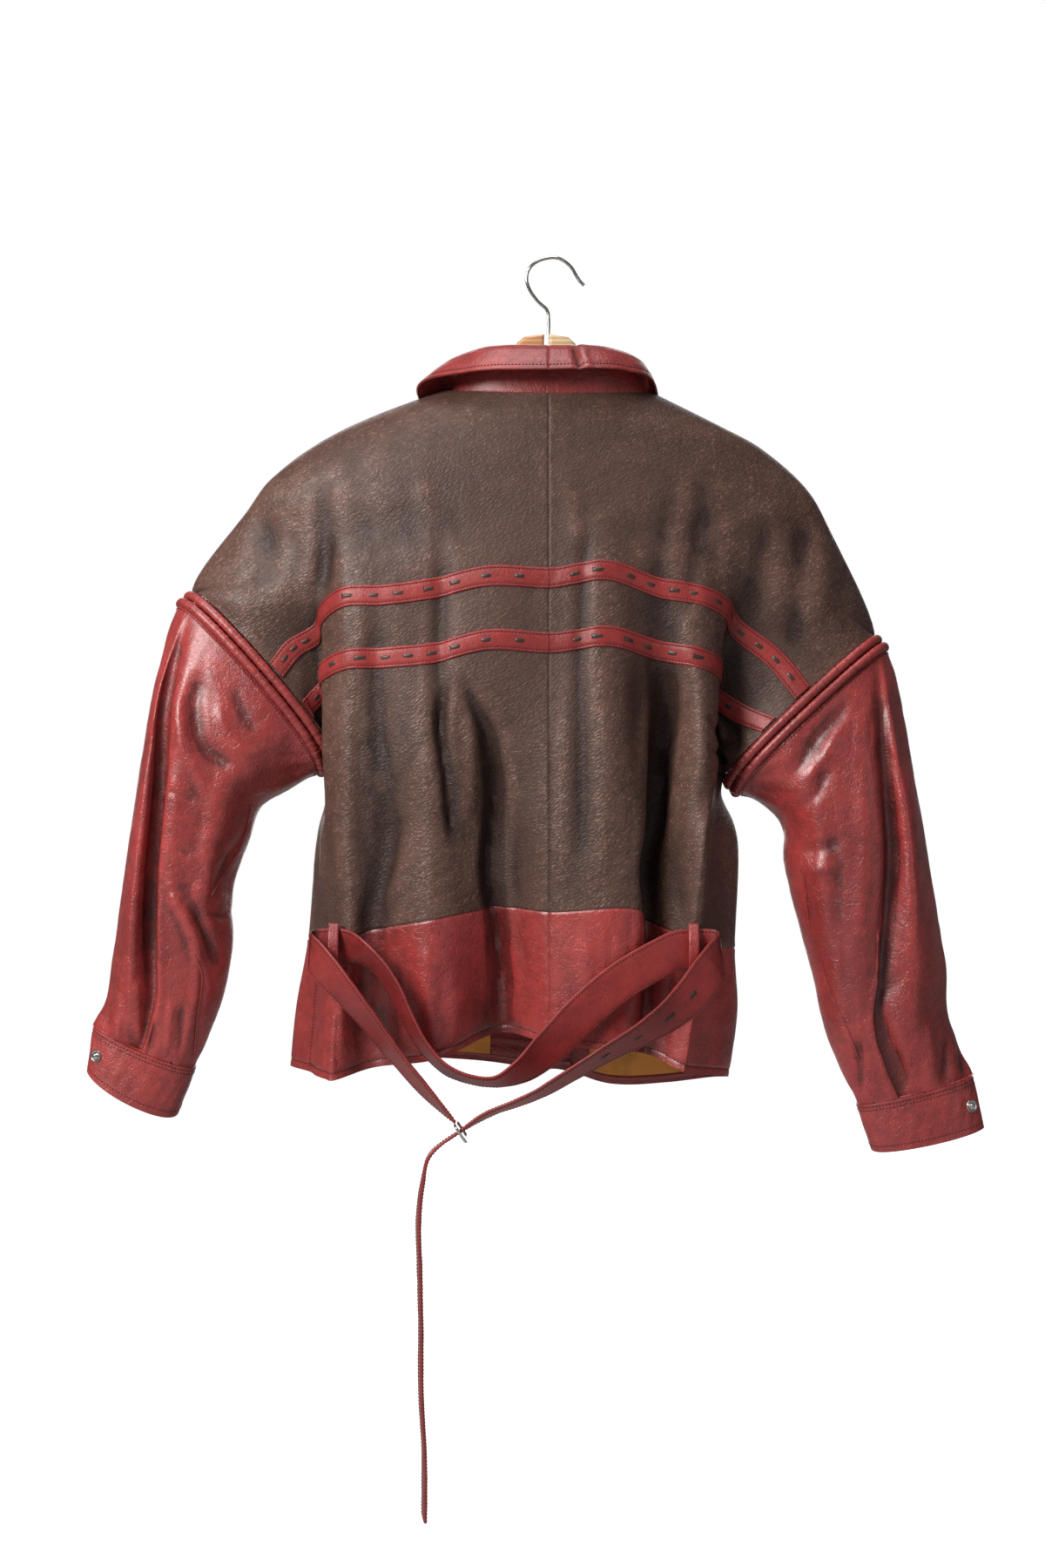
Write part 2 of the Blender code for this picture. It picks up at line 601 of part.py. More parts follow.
def add_sheet(name, points, slot, wall, offset=-1, closed=False):
    """A sheet along the points, thickened by Solidify. A closed one joins its last column to its first."""
    shape = grid_shape(points)
    if closed:
        bmesh.ops.remove_doubles(shape, verts=shape.verts, dist=0.00001)
    piece = add_object(name, finish_mesh(shape, name), slot)
    thick = piece.modifiers.new("wall", "SOLIDIFY")
    thick.thickness = wall * MM
    thick.offset = offset
    return piece


def pull_edges(grid, edges, distance=HALF_GAP):
    """Moves edges of a grid towards their next lines, by half a seam gap where nothing else is stated."""
    for edge in edges:
        line, following = {
            "top": (grid[0], grid[1]),
            "bottom": (grid[-1], grid[-2]),
            "first": (grid[:, 0], grid[:, 1]),
            "last": (grid[:, -1], grid[:, -2]),
        }[edge]
        way = following - line
        line += way / np.linalg.norm(way, axis=1, keepdims=True) * distance


def add_panel(name, panel, heights, columns, edges, slot, lift=None):
    """A leather piece cut from a panel. The named edges leave room for a seam."""
    outer = panel.at(heights, columns)
    inner = outer - panel.normals(heights, columns) * WALL
    if lift is not None:
        rise = lift(outer)
        outer, inner = outer + rise, inner + rise
    for grid in (outer, inner):
        pull_edges(grid, edges)
    return add_shell(name, outer, inner, slot)


def linear_weights(places, samples):
    """A matrix that takes values at the places to straight lines between them."""
    return np.array([np.interp(samples, places, row) for row in np.eye(len(places))]).T


def add_overlay(name, panel, heights, columns, rows, across, low, high, slot):
    """A layer on a panel's own facets, from low to high above its outer face."""
    down, along = linear_weights(heights, rows), linear_weights(columns, across)
    face = np.einsum("vr,rck,uc->vuk", down, panel.at(heights, columns), along)
    normal = np.einsum("vr,rck,uc->vuk", down, panel.normals(heights, columns), along)
    return add_shell(name, face + normal * high, face + normal * low, slot)


def panel_heights(first, last, per_span):
    """Row samples from one named row to another."""
    return stations([place for place in ROW_PLACES if ROWS[first] <= place <= ROWS[last]], per_span)


def halves():
    """The columns of each half of the back."""
    return (
        ("left", BACK_PLACES[: CENTRE_COLUMN + 1]),
        ("right", BACK_PLACES[CENTRE_COLUMN:]),
    )


def add_backs(panels):
    """The two halves of the back, and the two halves of its hem band."""
    for side, places in halves():
        columns = stations(places, 2)
        body, band = panel_heights("neck", "band_top", 2), panel_heights("band_top", "hem", 3)
        ends = ("first", "last")
        add_panel(f"back_{side}", panels["back"], body, columns, ("bottom", *ends), "olive_leather")
        add_panel(f"band_back_{side}", panels["back"], band, columns, ("top", *ends), "red_leather")


def lap_lift(points):
    """How far the upper front rises over the lower one beside the centre."""
    share = np.clip((46 - points[:, :, 0]) / 18, 0, 1)
    rise = np.zeros_like(points)
    rise[:, :, 1] = LAP_LIFT * share * share * (3 - 2 * share)
    return rise


def add_fronts(panels):
    """The two fronts and their hem bands. The wearer's right front laps over the left one."""
    columns = stations(FRONT_PLACES, 2)
    for side, lift in (("left", None), ("right", lap_lift)):
        body, band = panel_heights("neck", "band_top", 2), panel_heights("band_top", "hem", 2)
        add_panel(f"front_{side}", panels[side], body, columns, ("bottom", "first"), "olive_leather", lift)
        add_panel(f"band_front_{side}", panels[side], band, columns, ("top", "first"), "red_leather", lift)


def add_linings(panels):
    """The lining and the facing inside the front band, where the raised back hem shows them."""
    high = -(WALL + SEAM_GAP)
    low = high - LINING_WALL
    heights, columns = panel_heights("band_top", "hem", 2), stations(FRONT_PLACES, 2)
    rows = np.concatenate([[INSIDE_TOP], heights[2:-1], [INSIDE_BOTTOM]])
    for name, (side, start, end, slot) in INSIDE_PIECES.items():
        inside = columns[(columns > start) & (columns < end)]
        across = np.concatenate([[start], inside, [end]])
        add_overlay(name, panels[side], heights, columns, rows, across, low, high, slot)


def strip_rows(panel, middle, heights, columns):
    """The heights at which a strip's two edges and its middle cross each column."""
    face = panel.at(heights, columns)
    centre = list(heights).index(middle)
    edges = []
    for column in range(len(columns)):
        steps = np.linalg.norm(np.diff(face[:, column], axis=0), axis=1)
        run = np.concatenate([[0], np.cumsum(steps)])
        run -= run[centre]
        edges.append([np.interp(reach, run, heights) for reach in (-STRIP_WIDTH / 2, 0.0, STRIP_WIDTH / 2)])
    return np.array(edges)


def add_strips(panels):
    """The two laced strips across the back, in halves that meet at the centre seam."""
    panel = panels["back"]
    heights = panel_heights("neck", "band_top", 2)
    for name in ("strip_high", "strip_low"):
        for side, places in halves():
            columns = stations(places, 2)
            rows = strip_rows(panel, ROWS[name], heights, columns)
            face, normal = panel.at(heights, columns), panel.normals(heights, columns)
            on_face = np.empty((3, len(columns), 3))
            off_face = np.empty((3, len(columns), 3))
            for i, crossings in enumerate(rows):
                weights = linear_weights(heights, crossings)
                on_face[:, i], off_face[:, i] = weights @ face[:, i], weights @ normal[:, i]
            outer, inner = on_face + off_face * (STRIP_LIFT + STRIP_WALL), on_face + off_face * STRIP_LIFT
            at_sleeve, at_centre = ("first", "last") if side == "left" else ("last", "first")
            for grid in (outer, inner):
                pull_edges(grid, (at_sleeve,), STRIP_END)
                pull_edges(grid, (at_centre,))
            add_shell(f"{name}_{side}", outer, inner, "red_leather")


def ring_shares(trough):
    """Where a sleeve ring's points lie across the arm, over the back and then over the front."""
    wide = (1 - trough) / 4
    over_back = [trough + step * wide for step in (0, 0.35, 1, 2, 3)]
    return [0, trough / 2, *over_back, 1], [0.84, 0.6, 0.38, 0.14]


def section_bulge(depth, share):
    """How far a sleeve section swells at a share of the way across it."""
    return depth * (1 - abs(2 * share - 1) ** SECTION_ROUND) ** (1 / SECTION_ROUND)


def ring_section(outer, inner, depth, trough, groove, centre, hang=0.0):
    """A sleeve section as eight points over the back and four over the front."""
    outer = np.array([outer[0], centre, outer[1]], float)
    inner = np.array([inner[0], centre, inner[1]], float)
    over_back, over_front = ring_shares(trough)
    ring = []
    for share in over_back:
        bulge = section_bulge(depth, share)
        sunk = groove if share == trough else 0.0
        ring.append(outer + (inner - outer) * share + (0, sunk - bulge, -hang * bulge / depth))
    for share in over_front:
        ring.append(outer + (inner - outer) * share + (0, section_bulge(depth, share), 0))
    return np.array(ring)


def top_section(side, trough, beyond):
    """The sleeve's first ring: its seam, moved down the sleeve, at the shares that the sections use."""
    over_back, over_front = ring_shares(trough)
    ring = [beside_seam(side, "back", math.acos(1 - 2 * share) / math.pi, beyond) for share in over_back]
    ring += [beside_seam(side, "front", math.acos(1 - 2 * share) / math.pi, beyond) for share in over_front]
    return np.array(ring)


def add_sleeves():
    """Each sleeve is one tube from its seam to its cuff."""
    for side, sections in SLEEVE_SECTIONS.items():
        start = ROLL_START[side] + 4 * ROLL_RADIUS + 2 * SEAM_GAP + SLEEVE_CLEAR
        rings = [top_section(side, SLEEVE_TOP_TROUGH, start)]
        for k, (outer, inner, depth, trough, groove) in enumerate(sections):
            hang = CUFFS[side][0][3] if k == len(sections) - 1 else 0.0
            rings.append(ring_section(outer, inner, depth, trough, groove, SLEEVE_CENTRE, hang))
        rings = np.array(rings)
        around = np.arange(-2, rings.shape[1] + 3)
        ring_points = rings[:, around % rings.shape[1]]
        across = spline_weights(around, stations(list(range(rings.shape[1] + 1)), 2))
        down = spline_weights(SLEEVE_PLACES, stations(SLEEVE_PLACES, 2))
        points = np.einsum("vr,rck,uc->vuk", down, ring_points, across)
        if side == "left":
            points = points[:, ::-1]
        add_sheet(f"sleeve_{side}", points, "red_leather", WALL, closed=True)


def add_rolls():
    """Two padded rolls round each sleeve seam, laid side by side between the body and the sleeve."""
    for side in ("left", "right"):
        for k, name in enumerate(("roll_upper", "roll_lower")):
            beyond = ROLL_START[side] + ROLL_RADIUS + k * (2 * ROLL_RADIUS + SEAM_GAP)
            points = seam_loop(side, 16, beyond)
            add_tube(f"{name}_{side}", points, ROLL_RADIUS, 1, "red_leather", cyclic=True)


def add_tube(name, points, radius, resolution, slot, cyclic=False):
    """A round tube along the points."""
    curve = bpy.data.curves.new(name, "CURVE")
    curve.dimensions = "3D"
    line = curve.splines.new("POLY")
    line.points.add(len(points) - 1)
    for spot, point in zip(line.points, points):
        spot.co = (*[float(x) * MM for x in point], 1)
    line.use_cyclic_u = cyclic
    curve.bevel_depth = radius * MM
    curve.bevel_resolution = resolution
    curve.use_fill_caps = True
    return add_object(name, curve, slot)


def add_cuffs():
    """Each cuff is a band with open ends at the outer edge of the wrist."""
    for side, edges in CUFFS.items():
        start = CUFF_MOUTH / edges[0][2]
        turns = np.linspace(start, 2 * math.pi - start, 25)
        points = np.array([[cuff_spot(side, turn, down) for turn in turns] for down in (0, 0.5, 1)])
        if side == "left":
            points = points[:, ::-1]
        add_sheet(f"cuff_{side}", points, "red_leather", CUFF_WALL)


def unit(vectors):
    """The vectors at length one."""
    return vectors / np.linalg.norm(vectors, axis=-1, keepdims=True)


def tucked_neck_line(panels, fold):
    """Where the stand starts below each point of the collar's fold: just inside the neck edge."""
    neck = [ROWS["neck"]]
    front = np.linspace(0, FRONT_PLACES[CENTRE_FRONT], 40)
    around = [panels[side].at(neck, front)[0] for side in ("left", "right")]
    around.append(panels["back"].at(neck, np.linspace(0, BACK_PLACES[-1], 80))[0])
    edge = np.concatenate(around)
    line = []
    for point in fold:
        nearest = edge[np.argmin(np.linalg.norm(edge - point, axis=1))]
        inward = -unit(nearest[:2])
        line.append(nearest + (*(inward * STAND_TUCK[0]), -STAND_TUCK[1]))
    return np.array(line)


def add_collar(panels):
    """The stand round the neck, and the fall that turns down from its top in two halves."""
    fold, edge = np.array(COLLAR_FOLD, float), np.array(COLLAR_EDGE, float)
    weights = spline_weights(COLLAR_POINTS, stations(COLLAR_POINTS[1:-1], 3))
    high = weights @ fold - (0, 0, STAND_DROP)
    low = tucked_neck_line(panels, high)
    stand = np.array([low * (1 - share) + high * share for share in STAND_SHARES])
    add_sheet("collar_stand", stand[:, ::-1], "red_leather", STAND_WALL)
    sides = (
        ("right", COLLAR_POINTS[: COLLAR_CENTRE + 1], "last"),
        ("left", COLLAR_POINTS[COLLAR_CENTRE:], "first"),
    )
    for side, places, seam in sides:
        weights = spline_weights(COLLAR_POINTS, stations(places, 3))
        crest, rim = weights @ fold, weights @ edge
        out = rim - crest
        out[:, 2] = 0
        out = unit(out)
        rows = [crest - out * 1.2 + (0, 0, -0.4)]
        for share, rise in FALL_ROWS:
            rows.append(crest * (1 - share) + rim * share + out * rise * 0.7 + (0, 0, rise))
        outer = np.array(rows)
        along, down = np.gradient(outer, axis=1), np.gradient(outer, axis=0)
        normal = unit(np.cross(along, down))
        if normal[2, len(crest) // 2] @ (out[len(crest) // 2] + (0, 0, 1)) < 0:
            normal = -normal
        inner = outer - normal * WALL
        for grid in (outer, inner):
            pull_edges(grid, (seam,))
        add_shell(f"collar_fall_{side}", outer, inner, "red_leather")


def ring_shape(centre, across, up, width, height, corner, count=24):
    """A rounded rectangle of points in the plane of two unit directions."""
    turns = np.arange(count) * 2 * math.pi / count
    first = np.sign(np.cos(turns)) * np.abs(np.cos(turns)) ** corner * width / 2
    second = np.sign(np.sin(turns)) * np.abs(np.sin(turns)) ** corner * height / 2
    return np.array(centre) + np.outer(first, across) + np.outer(second, up)


def add_belt():
    """The leather belt, as one ribbon from its end at the buckle to its free end."""
    line = smooth_line([(*centre, *way) for centre, way in BELT], 2)
    centres, ways = line[:, :3], unit(line[:, 3:])
    points = np.array([centres + ways * BELT_WIDTH * share for share in (-0.5, 0.0, 0.5)])
    add_sheet("belt", points, "red_leather", BELT_WALL, offset=0)


def add_buckle():
    """The plain metal ring that holds the belt's two ends."""
    width, height = BUCKLE_SIZE
    points = ring_shape(BUCKLE_AT, (0, 1, 0), unit(np.array(BUCKLE_UP)), width, height, 0.35)
    add_tube("belt_buckle", points, BUCKLE_WIRE, 1, "steel", cyclic=True)


def add_loops():
    """A narrow strap that stands off each side of the band and holds the belt."""
    for side, (x, top, bottom, face) in LOOPS.items():
        out = face - LOOP_REACH
        route = [
            (x, face, top), (x, out + 5, top), (x, out, top - 6), (x, out, bottom + 6), (x, out + 5, bottom),
            (x, face, bottom),
        ]
        line = smooth_line(route, 2)
        points = np.array([line + (LOOP_WIDTH * share, 0, 0) for share in (-0.5, 0.5)])
        add_sheet(f"belt_loop_{side}", points, "red_leather", LOOP_WALL)


def cuff_spot(side, turn, down):
    """A point of a cuff's outer face: turn runs round the wrist, and down runs from the top edge."""
    spots = []
    for outer, inner, depth, hang in CUFFS[side]:
        outer = np.array([outer[0], SLEEVE_CENTRE, outer[1]], float)
        inner = np.array([inner[0], SLEEVE_CENTRE, inner[1]], float)
        swing = math.copysign(abs(math.sin(turn)) ** 0.8, math.sin(turn))
        spot = outer + (inner - outer) * (1 - math.cos(turn)) / 2
        spots.append(spot + (0, -depth * swing, -hang * max(swing, 0)))
    return spots[0] * (1 - down) + spots[1] * down


def add_snaps():
    """The metal stud of each cuff's snap, on the back face near its outer end."""
    for side in CUFFS:
        spot = cuff_spot(side, SNAP_TURN, 0.5)
        round_way = cuff_spot(side, SNAP_TURN + 0.05, 0.5) - cuff_spot(side, SNAP_TURN - 0.05, 0.5)
        normal = unit(np.cross(round_way, cuff_spot(side, SNAP_TURN, 1.0) - cuff_spot(side, SNAP_TURN, 0.0)))
        if normal[1] > 0:
            normal = -normal
        shape = bmesh.new()
        corners = [shape.verts.new((r * MM, 0, z * MM)) for r, z in STUD_PROFILE]
        edges = [shape.edges.new(pair) for pair in zip(corners[:-1], corners[1:])]
        bmesh.ops.spin(
            shape, geom=corners + edges, axis=(0, 0, 1), cent=(0, 0, 0), angle=2 * math.pi, steps=20,
            use_merge=True,
        )
        bmesh.ops.remove_doubles(shape, verts=shape.verts, dist=0.00003)
        bmesh.ops.recalc_face_normals(shape, faces=shape.faces)
        piece = add_object(f"snap_stud_{side}", finish_mesh(shape, f"snap_stud_{side}"), "steel")
        piece.rotation_mode = "QUATERNION"
        piece.rotation_quaternion = Vector(normal).to_track_quat("Z", "Y")
        piece.location = Vector((spot + normal * (SEAM_GAP + SNAP_SAG)) * MM)


def add_hanger():
    """Two shaped boards that meet at the neck, and the steel hook."""
    for side, sign, slot in (("left", -1, "wood_dark"), ("right", 1, "wood_pale")):
        curve = bpy.data.curves.new(f"hanger_{side}", "CURVE")
        curve.dimensions = "2D"
        curve.fill_mode = "BOTH"
        curve.extrude = (BOARD / 2 - BOARD_ROUND) * MM
        curve.bevel_depth = BOARD_ROUND * MM
        curve.bevel_resolution = 1
        curve.offset = -BOARD_ROUND * MM
        line = curve.splines.new("POLY")
        line.points.add(len(HANGER_HALF) - 1)
        top = HANGER_HALF[0][1]
        for spot, (x, z) in zip(line.points, HANGER_HALF):
            spot.co = (sign * (x + HANGER_JOINT) * MM, (top + (z - top) * HANGER_DROOP[side]) * MM, 0, 1)
        line.use_cyclic_u = True
        board = add_object(f"hanger_{side}", curve, slot)
        board.rotation_euler = (math.pi / 2, 0, sign * math.radians(HANGER_TURN))
        board.location = (HANGER_MIDDLE * MM, 0, 0)
    line = smooth_line([(x, 0, z) for x, z in HOOK], 2)
    add_tube("hanger_hook", line, HOOK_WIRE, 2, "steel")


def new_scene():
    """Clears the file and makes the collection and the empty that carry the parts."""
    for leftover in list(bpy.data.objects):
        bpy.data.objects.remove(leftover)
    group = bpy.data.collections.new("leather_jacket")
    bpy.context.scene.collection.children.link(group)
    carrier = bpy.data.objects.new("jacket_on_hanger", None)
    group.objects.link(carrier)


def main():
    new_scene()
    panels = make_panels()
    add_backs(panels)
    add_fronts(panels)
    add_linings(panels)
    add_strips(panels)
    add_sleeves()
    add_rolls()
    add_cuffs()
    add_collar(panels)
    add_snaps()
    add_belt()
    add_buckle()
    add_loops()
    add_hanger()


main()
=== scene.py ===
"""A worn leather jacket in olive and dark red, laced across the back, on a wooden coat hanger.

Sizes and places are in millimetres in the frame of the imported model, and MM turns them into metres. +X is the
wearer's right, +Y the wearer's front and +Z up, and the origin is the inner top of the hanger's hook.
"""

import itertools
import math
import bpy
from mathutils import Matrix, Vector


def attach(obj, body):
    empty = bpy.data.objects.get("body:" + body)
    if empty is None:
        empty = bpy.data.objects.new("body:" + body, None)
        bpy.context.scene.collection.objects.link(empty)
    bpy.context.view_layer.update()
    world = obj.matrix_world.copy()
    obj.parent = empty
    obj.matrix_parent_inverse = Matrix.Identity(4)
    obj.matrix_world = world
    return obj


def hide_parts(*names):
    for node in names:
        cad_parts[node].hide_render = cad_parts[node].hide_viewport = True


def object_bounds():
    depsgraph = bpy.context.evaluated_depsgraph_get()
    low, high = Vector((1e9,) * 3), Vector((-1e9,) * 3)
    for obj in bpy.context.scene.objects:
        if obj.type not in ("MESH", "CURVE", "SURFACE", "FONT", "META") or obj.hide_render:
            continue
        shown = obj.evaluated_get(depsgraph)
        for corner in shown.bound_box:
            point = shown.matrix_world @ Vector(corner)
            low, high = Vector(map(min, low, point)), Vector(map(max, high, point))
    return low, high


bl_info = {
    "name": "Laced leather jacket",
    "version": (1, 0, 0),
    "blender": (4, 5, 0),
    "location": "View3D > Sidebar > Jacket",
    "description": "Builds a worn two-colour leather jacket on a wooden coat hanger",
    "category": "Add Mesh",
}

from functools import cache, partial

import bmesh
import bpy
import numpy as np
from bpy.props import FloatProperty, FloatVectorProperty, PointerProperty
from mathutils import Matrix, Vector

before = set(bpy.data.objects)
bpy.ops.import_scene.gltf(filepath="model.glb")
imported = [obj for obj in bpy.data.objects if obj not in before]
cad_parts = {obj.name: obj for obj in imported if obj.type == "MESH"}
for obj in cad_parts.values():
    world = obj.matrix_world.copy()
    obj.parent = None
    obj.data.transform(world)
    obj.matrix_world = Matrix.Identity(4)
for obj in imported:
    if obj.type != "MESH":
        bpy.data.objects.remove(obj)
CAD_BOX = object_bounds()
MM = 0.001

# Points this near are merged, in metres; a distance past any other; the least share of its box that a cut fills.
MERGE = 0.00002
FAR = 1e9
LEAST_CUT = 0.305

# The photograph's view: a level camera square to the back, and how much of the jacket one pixel covers.
PHOTO_HEIGHT = 1800
PIXEL = 0.870
CAMERA_AT = (-28.7, -2600.0, -523.7)
SENSOR = 36.0

# Leather, seams and trim.
WALL = 2.0
CUFF_WALL = 2.4
STRIP_WALL = 1.3
LINING_WALL = 1.0
HALF_GAP = 0.25
ROLL_RADIUS = 4.8
ROLL_START = {"left": 0.9, "right": 0.35}
STRIP_LIFT = 0.5
STRIP_END = 1.6
LOOP_WIDTH = 10.0
LOOP_WALL = 2.0
LOOP_REACH = 12.0
SNAP_RADIUS = 6.4

# Rows of stitches: how far they run from an edge, and as shares of a strip's half width and of a cuff's height.
HEM_STITCH = 7.0
EDGE_STITCH = 6.0
SEAM_STITCH = 3.0
SLEEVE_STITCH = 3.6
COLLAR_STITCH = 5.5
STRIP_STITCH = 0.74
CUFF_STITCHES = (0.075, 0.16, 0.9)

# Rows of the back and the two fronts, from the neck to the hem: name and place down the back.
ROWS = {
    "neck": 141, "yoke_high": 160, "yoke_low": 190, "shoulder": 235, "tip": 270, "upper_arm": 298,
    "strip_high": 324, "strip_low": 387, "under": 440, "armpit": 500, "waist": 570, "band_top": 648, "band_mid": 715,
    "hem": 777,
}
ROW_PLACES = list(ROWS.values())
BODY = (ROWS["neck"], ROWS["band_top"])
BAND = (ROWS["band_top"], ROWS["hem"])
BACK_PLACES = [0, 28, 52, 84, 112, 150, 198, 258, 312, 386, 426, 466, 492, 520, 548, 580]
CENTRE_COLUMN = 8
FRONT_PLACES = [0, 40, 92, 150, 220, 290, 310]
CENTRE_FRONT = 5
LAP = 20.0
LAP_LIFT = WALL + 2.6

# Sleeve seams, from the top of the arm to the armpit.
TIP = {"left": (-360, 12, -333), "right": (324, 12, -376)}
ARMPIT = {"left": (-216, 6, -499), "right": (172, 0, -518)}
SEAM_BULGE = {"back": 46, "front": 40}
SEAM_BOW = {"left": 14, "right": 9}
ARMPIT_SLACK = 3.0
SEAM_ROWS = {
    "tip": (0.0, 0.0), "upper_arm": (0.30, 0.28), "strip_high": (0.523, 0.475), "strip_low": (0.674, 0.617),
    "under": (0.84, 0.81), "armpit": (1.0, 1.0),
}

# Ends and middle of the rows above the arms: left end, centre back, right end, and centre front.
YOKE = {
    "neck": ((-104, 0, -130), (-3, -50, -141), (100, 0, -133), (0, 52, -200)),
    "yoke_high": ((-172, 5, -154), (-3, -57, -160), (165, 5, -165), (0, 57, -222)),
    "yoke_low": ((-240, 10, -187), (-3, -64, -190), (218, 10, -194), (0, 61, -246)),
    "shoulder": ((-303, 12, -248), (-3, -70, -235), (277, 12, -265), (0, 65, -276)),
}

# The back's own rows, from the left side to the right.
BACK_ROWS = {
    "tip": [
        (-318, -22, -322), (-262, -34, -306), (-230, -43, -294), (-205, -52, -287), (-165, -60, -281),
        (-118, -67, -275), (-60, -72, -271), (-3, -73, -270), (60, -74, -269), (105, -68, -275),
        (145, -62, -283), (175, -55, -294), (208, -46, -308), (268, -33, -340),
    ],
    "upper_arm": [
        (-296, -36, -352), (-250, -38, -338), (-227, -44, -322), (-205, -58, -313), (-165, -66, -308),
        (-118, -73, -303), (-60, -77, -299), (-3, -76, -298), (60, -79, -296), (105, -72, -304),
        (145, -68, -312), (172, -56, -324), (198, -42, -342), (245, -36, -372),
    ],
    "strip_high": [
        (-254, -30, -389), (-233, -27, -376), (-225, -42, -355), (-205, -62, -342), (-165, -70, -340),
        (-118, -74, -334), (-60, -80, -322), (-3, -79, -324), (60, -83, -318), (105, -70, -333),
        (145, -71, -340), (170, -54, -351), (182, -34, -370), (218, -34, -398),
    ],
    "strip_low": [
        (-239, -26, -444), (-228, -23, -431), (-226, -42, -414), (-203, -66, -403), (-165, -72, -401),
        (-118, -78, -397), (-60, -84, -384), (-3, -82, -387), (62, -87, -382), (105, -66, -394),
        (146, -74, -402), (165, -54, -412), (156, -18, -430), (184, -22, -452),
    ],
    "under": [
        (-224, -14, -475), (-214, -9, -464), (-226, -39, -452), (-204, -66, -446), (-165, -72, -444),
        (-118, -82, -442), (-64, -82, -438), (-3, -84, -440), (66, -88, -437), (106, -50, -444),
        (146, -76, -450), (163, -56, -456), (152, -14, -466), (166, -12, -484),
    ],
    "armpit": [
        (-211, -4, -501), (-209, -16, -500), (-226, -39, -499), (-205, -66, -500), (-165, -70, -500),
        (-117, -85, -500), (-58, -70, -500), (-3, -85, -500), (74, -88, -500), (103, -44, -500),
        (146, -78, -502), (162, -58, -505), (162, -28, -510), (166, -12, -514),
    ],
}
LOWER_BACK_ROWS = {
    "waist": [
        (-229, -16, -570), (-228, -26, -570), (-226, -36, -570), (-220, -47, -570), (-203, -64, -570),
        (-165, -62, -570), (-117, -82, -570), (-52, -58, -570), (-3, -84, -570), (80, -86, -570),
        (95, -40, -570), (130, -68, -572), (146, -78, -573), (152, -74, -574), (156, -67, -575), (159, -58, -575),
    ],
    "band_top": [
        (-230, -26, -677), (-226, -36, -677), (-221, -45, -677), (-213, -54, -677), (-197, -64, -675),
        (-176, -54, -667), (-118, -82, -656), (-50, -50, -645), (-3, -80, -648), (80, -85, -645),
        (92, -42, -657), (118, -58, -668), (132, -68, -674), (139, -70, -677), (145, -68, -680), (150, -62, -683),
    ],
    "band_mid": [
        (-233, -28, -742), (-229, -38, -742), (-225, -47, -743), (-218, -56, -743), (-206, -64, -742),
        (-176, -42, -736), (-117, -78, -727), (-50, -38, -709), (-3, -74, -714), (76, -80, -716),
        (91, -42, -724), (112, -52, -732), (123, -58, -737), (131, -61, -739), (137, -62, -741), (142, -60, -742),
    ],
    "hem": [
        (-238, -30, -808), (-233, -40, -810), (-228, -48, -811), (-222, -56, -812), (-213, -62, -813),
        (-176, -38, -803), (-115, -72, -792), (-50, -28, -769), (-3, -66, -777), (72, -74, -783),
        (90, -44, -788), (107, -48, -794), (116, -54, -799), (122, -58, -802), (127, -60, -804), (132, -60, -806),
    ],
}

# The fronts' rows below the shoulder, from beside the side seam to the centre front.
FRONT_ROWS = {
    "left": {
        "tip": [(-325, 42, -322), (-250, 52, -312), (-165, 61, -308), (-80, 68, -310), (0, 69, -312)],
        "upper_arm": [(-280, 47, -356), (-225, 55, -344), (-155, 63, -340), (-76, 69, -341), (0, 71, -342)],
        "strip_high": [(-246, 46, -388), (-205, 54, -378), (-148, 64, -374), (-74, 70, -374), (0, 72, -375)],
        "strip_low": [(-228, 38, -438), (-195, 50, -428), (-142, 64, -424), (-71, 71, -424), (0, 73, -425)],
        "under": [(-217, 34, -474), (-190, 50, -468), (-140, 64, -465), (-70, 71, -465), (0, 73, -465)],
        "armpit": [(-209, 24, -504), (-190, 48, -506), (-140, 63, -508), (-70, 70, -508), (0, 72, -508)],
        "waist": [(-233, 12, -571), (-205, 46, -574), (-142, 62, -577), (-70, 69, -579), (0, 71, -580)],
        "band_top": [(-243, 4, -678), (-218, 42, -683), (-146, 60, -688), (-72, 66, -691), (0, 68, -694)],
        "band_mid": [(-255, 4, -744), (-228, 42, -747), (-150, 58, -750), (-74, 64, -753), (0, 66, -757)],
        "hem": [(-261, 4, -805), (-232, 40, -803), (-152, 55, -802), (-75, 61, -806), (0, 63, -815)],
    },
    "right": {
        "tip": [(292, 40, -362), (225, 50, -340), (150, 60, -322), (75, 67, -313), (0, 69, -312)],
        "upper_arm": [(250, 46, -384), (205, 54, -366), (145, 62, -352), (72, 69, -344), (0, 71, -342)],
        "strip_high": [(222, 44, -410), (190, 52, -396), (140, 63, -384), (70, 70, -377), (0, 72, -375)],
        "strip_low": [(196, 36, -458), (172, 48, -444), (130, 63, -432), (66, 71, -427), (0, 73, -425)],
        "under": [(171, 30, -488), (156, 46, -478), (122, 63, -470), (64, 71, -466), (0, 73, -465)],
        "armpit": [(165, 20, -520), (154, 44, -514), (118, 62, -510), (62, 70, -508), (0, 72, -508)],
        "waist": [(184, -14, -576), (172, 34, -577), (120, 62, -578), (62, 69, -579), (0, 71, -580)],
        "band_top": [(181, -16, -686), (170, 34, -690), (118, 60, -694), (62, 66, -697), (0, 68, -694)],
        "band_mid": [(183, -14, -752), (170, 34, -758), (120, 58, -764), (62, 64, -766), (0, 66, -757)],
        "hem": [(174, -14, -814), (162, 32, -820), (118, 56, -828), (62, 62, -830), (0, 63, -815)],
    },
}

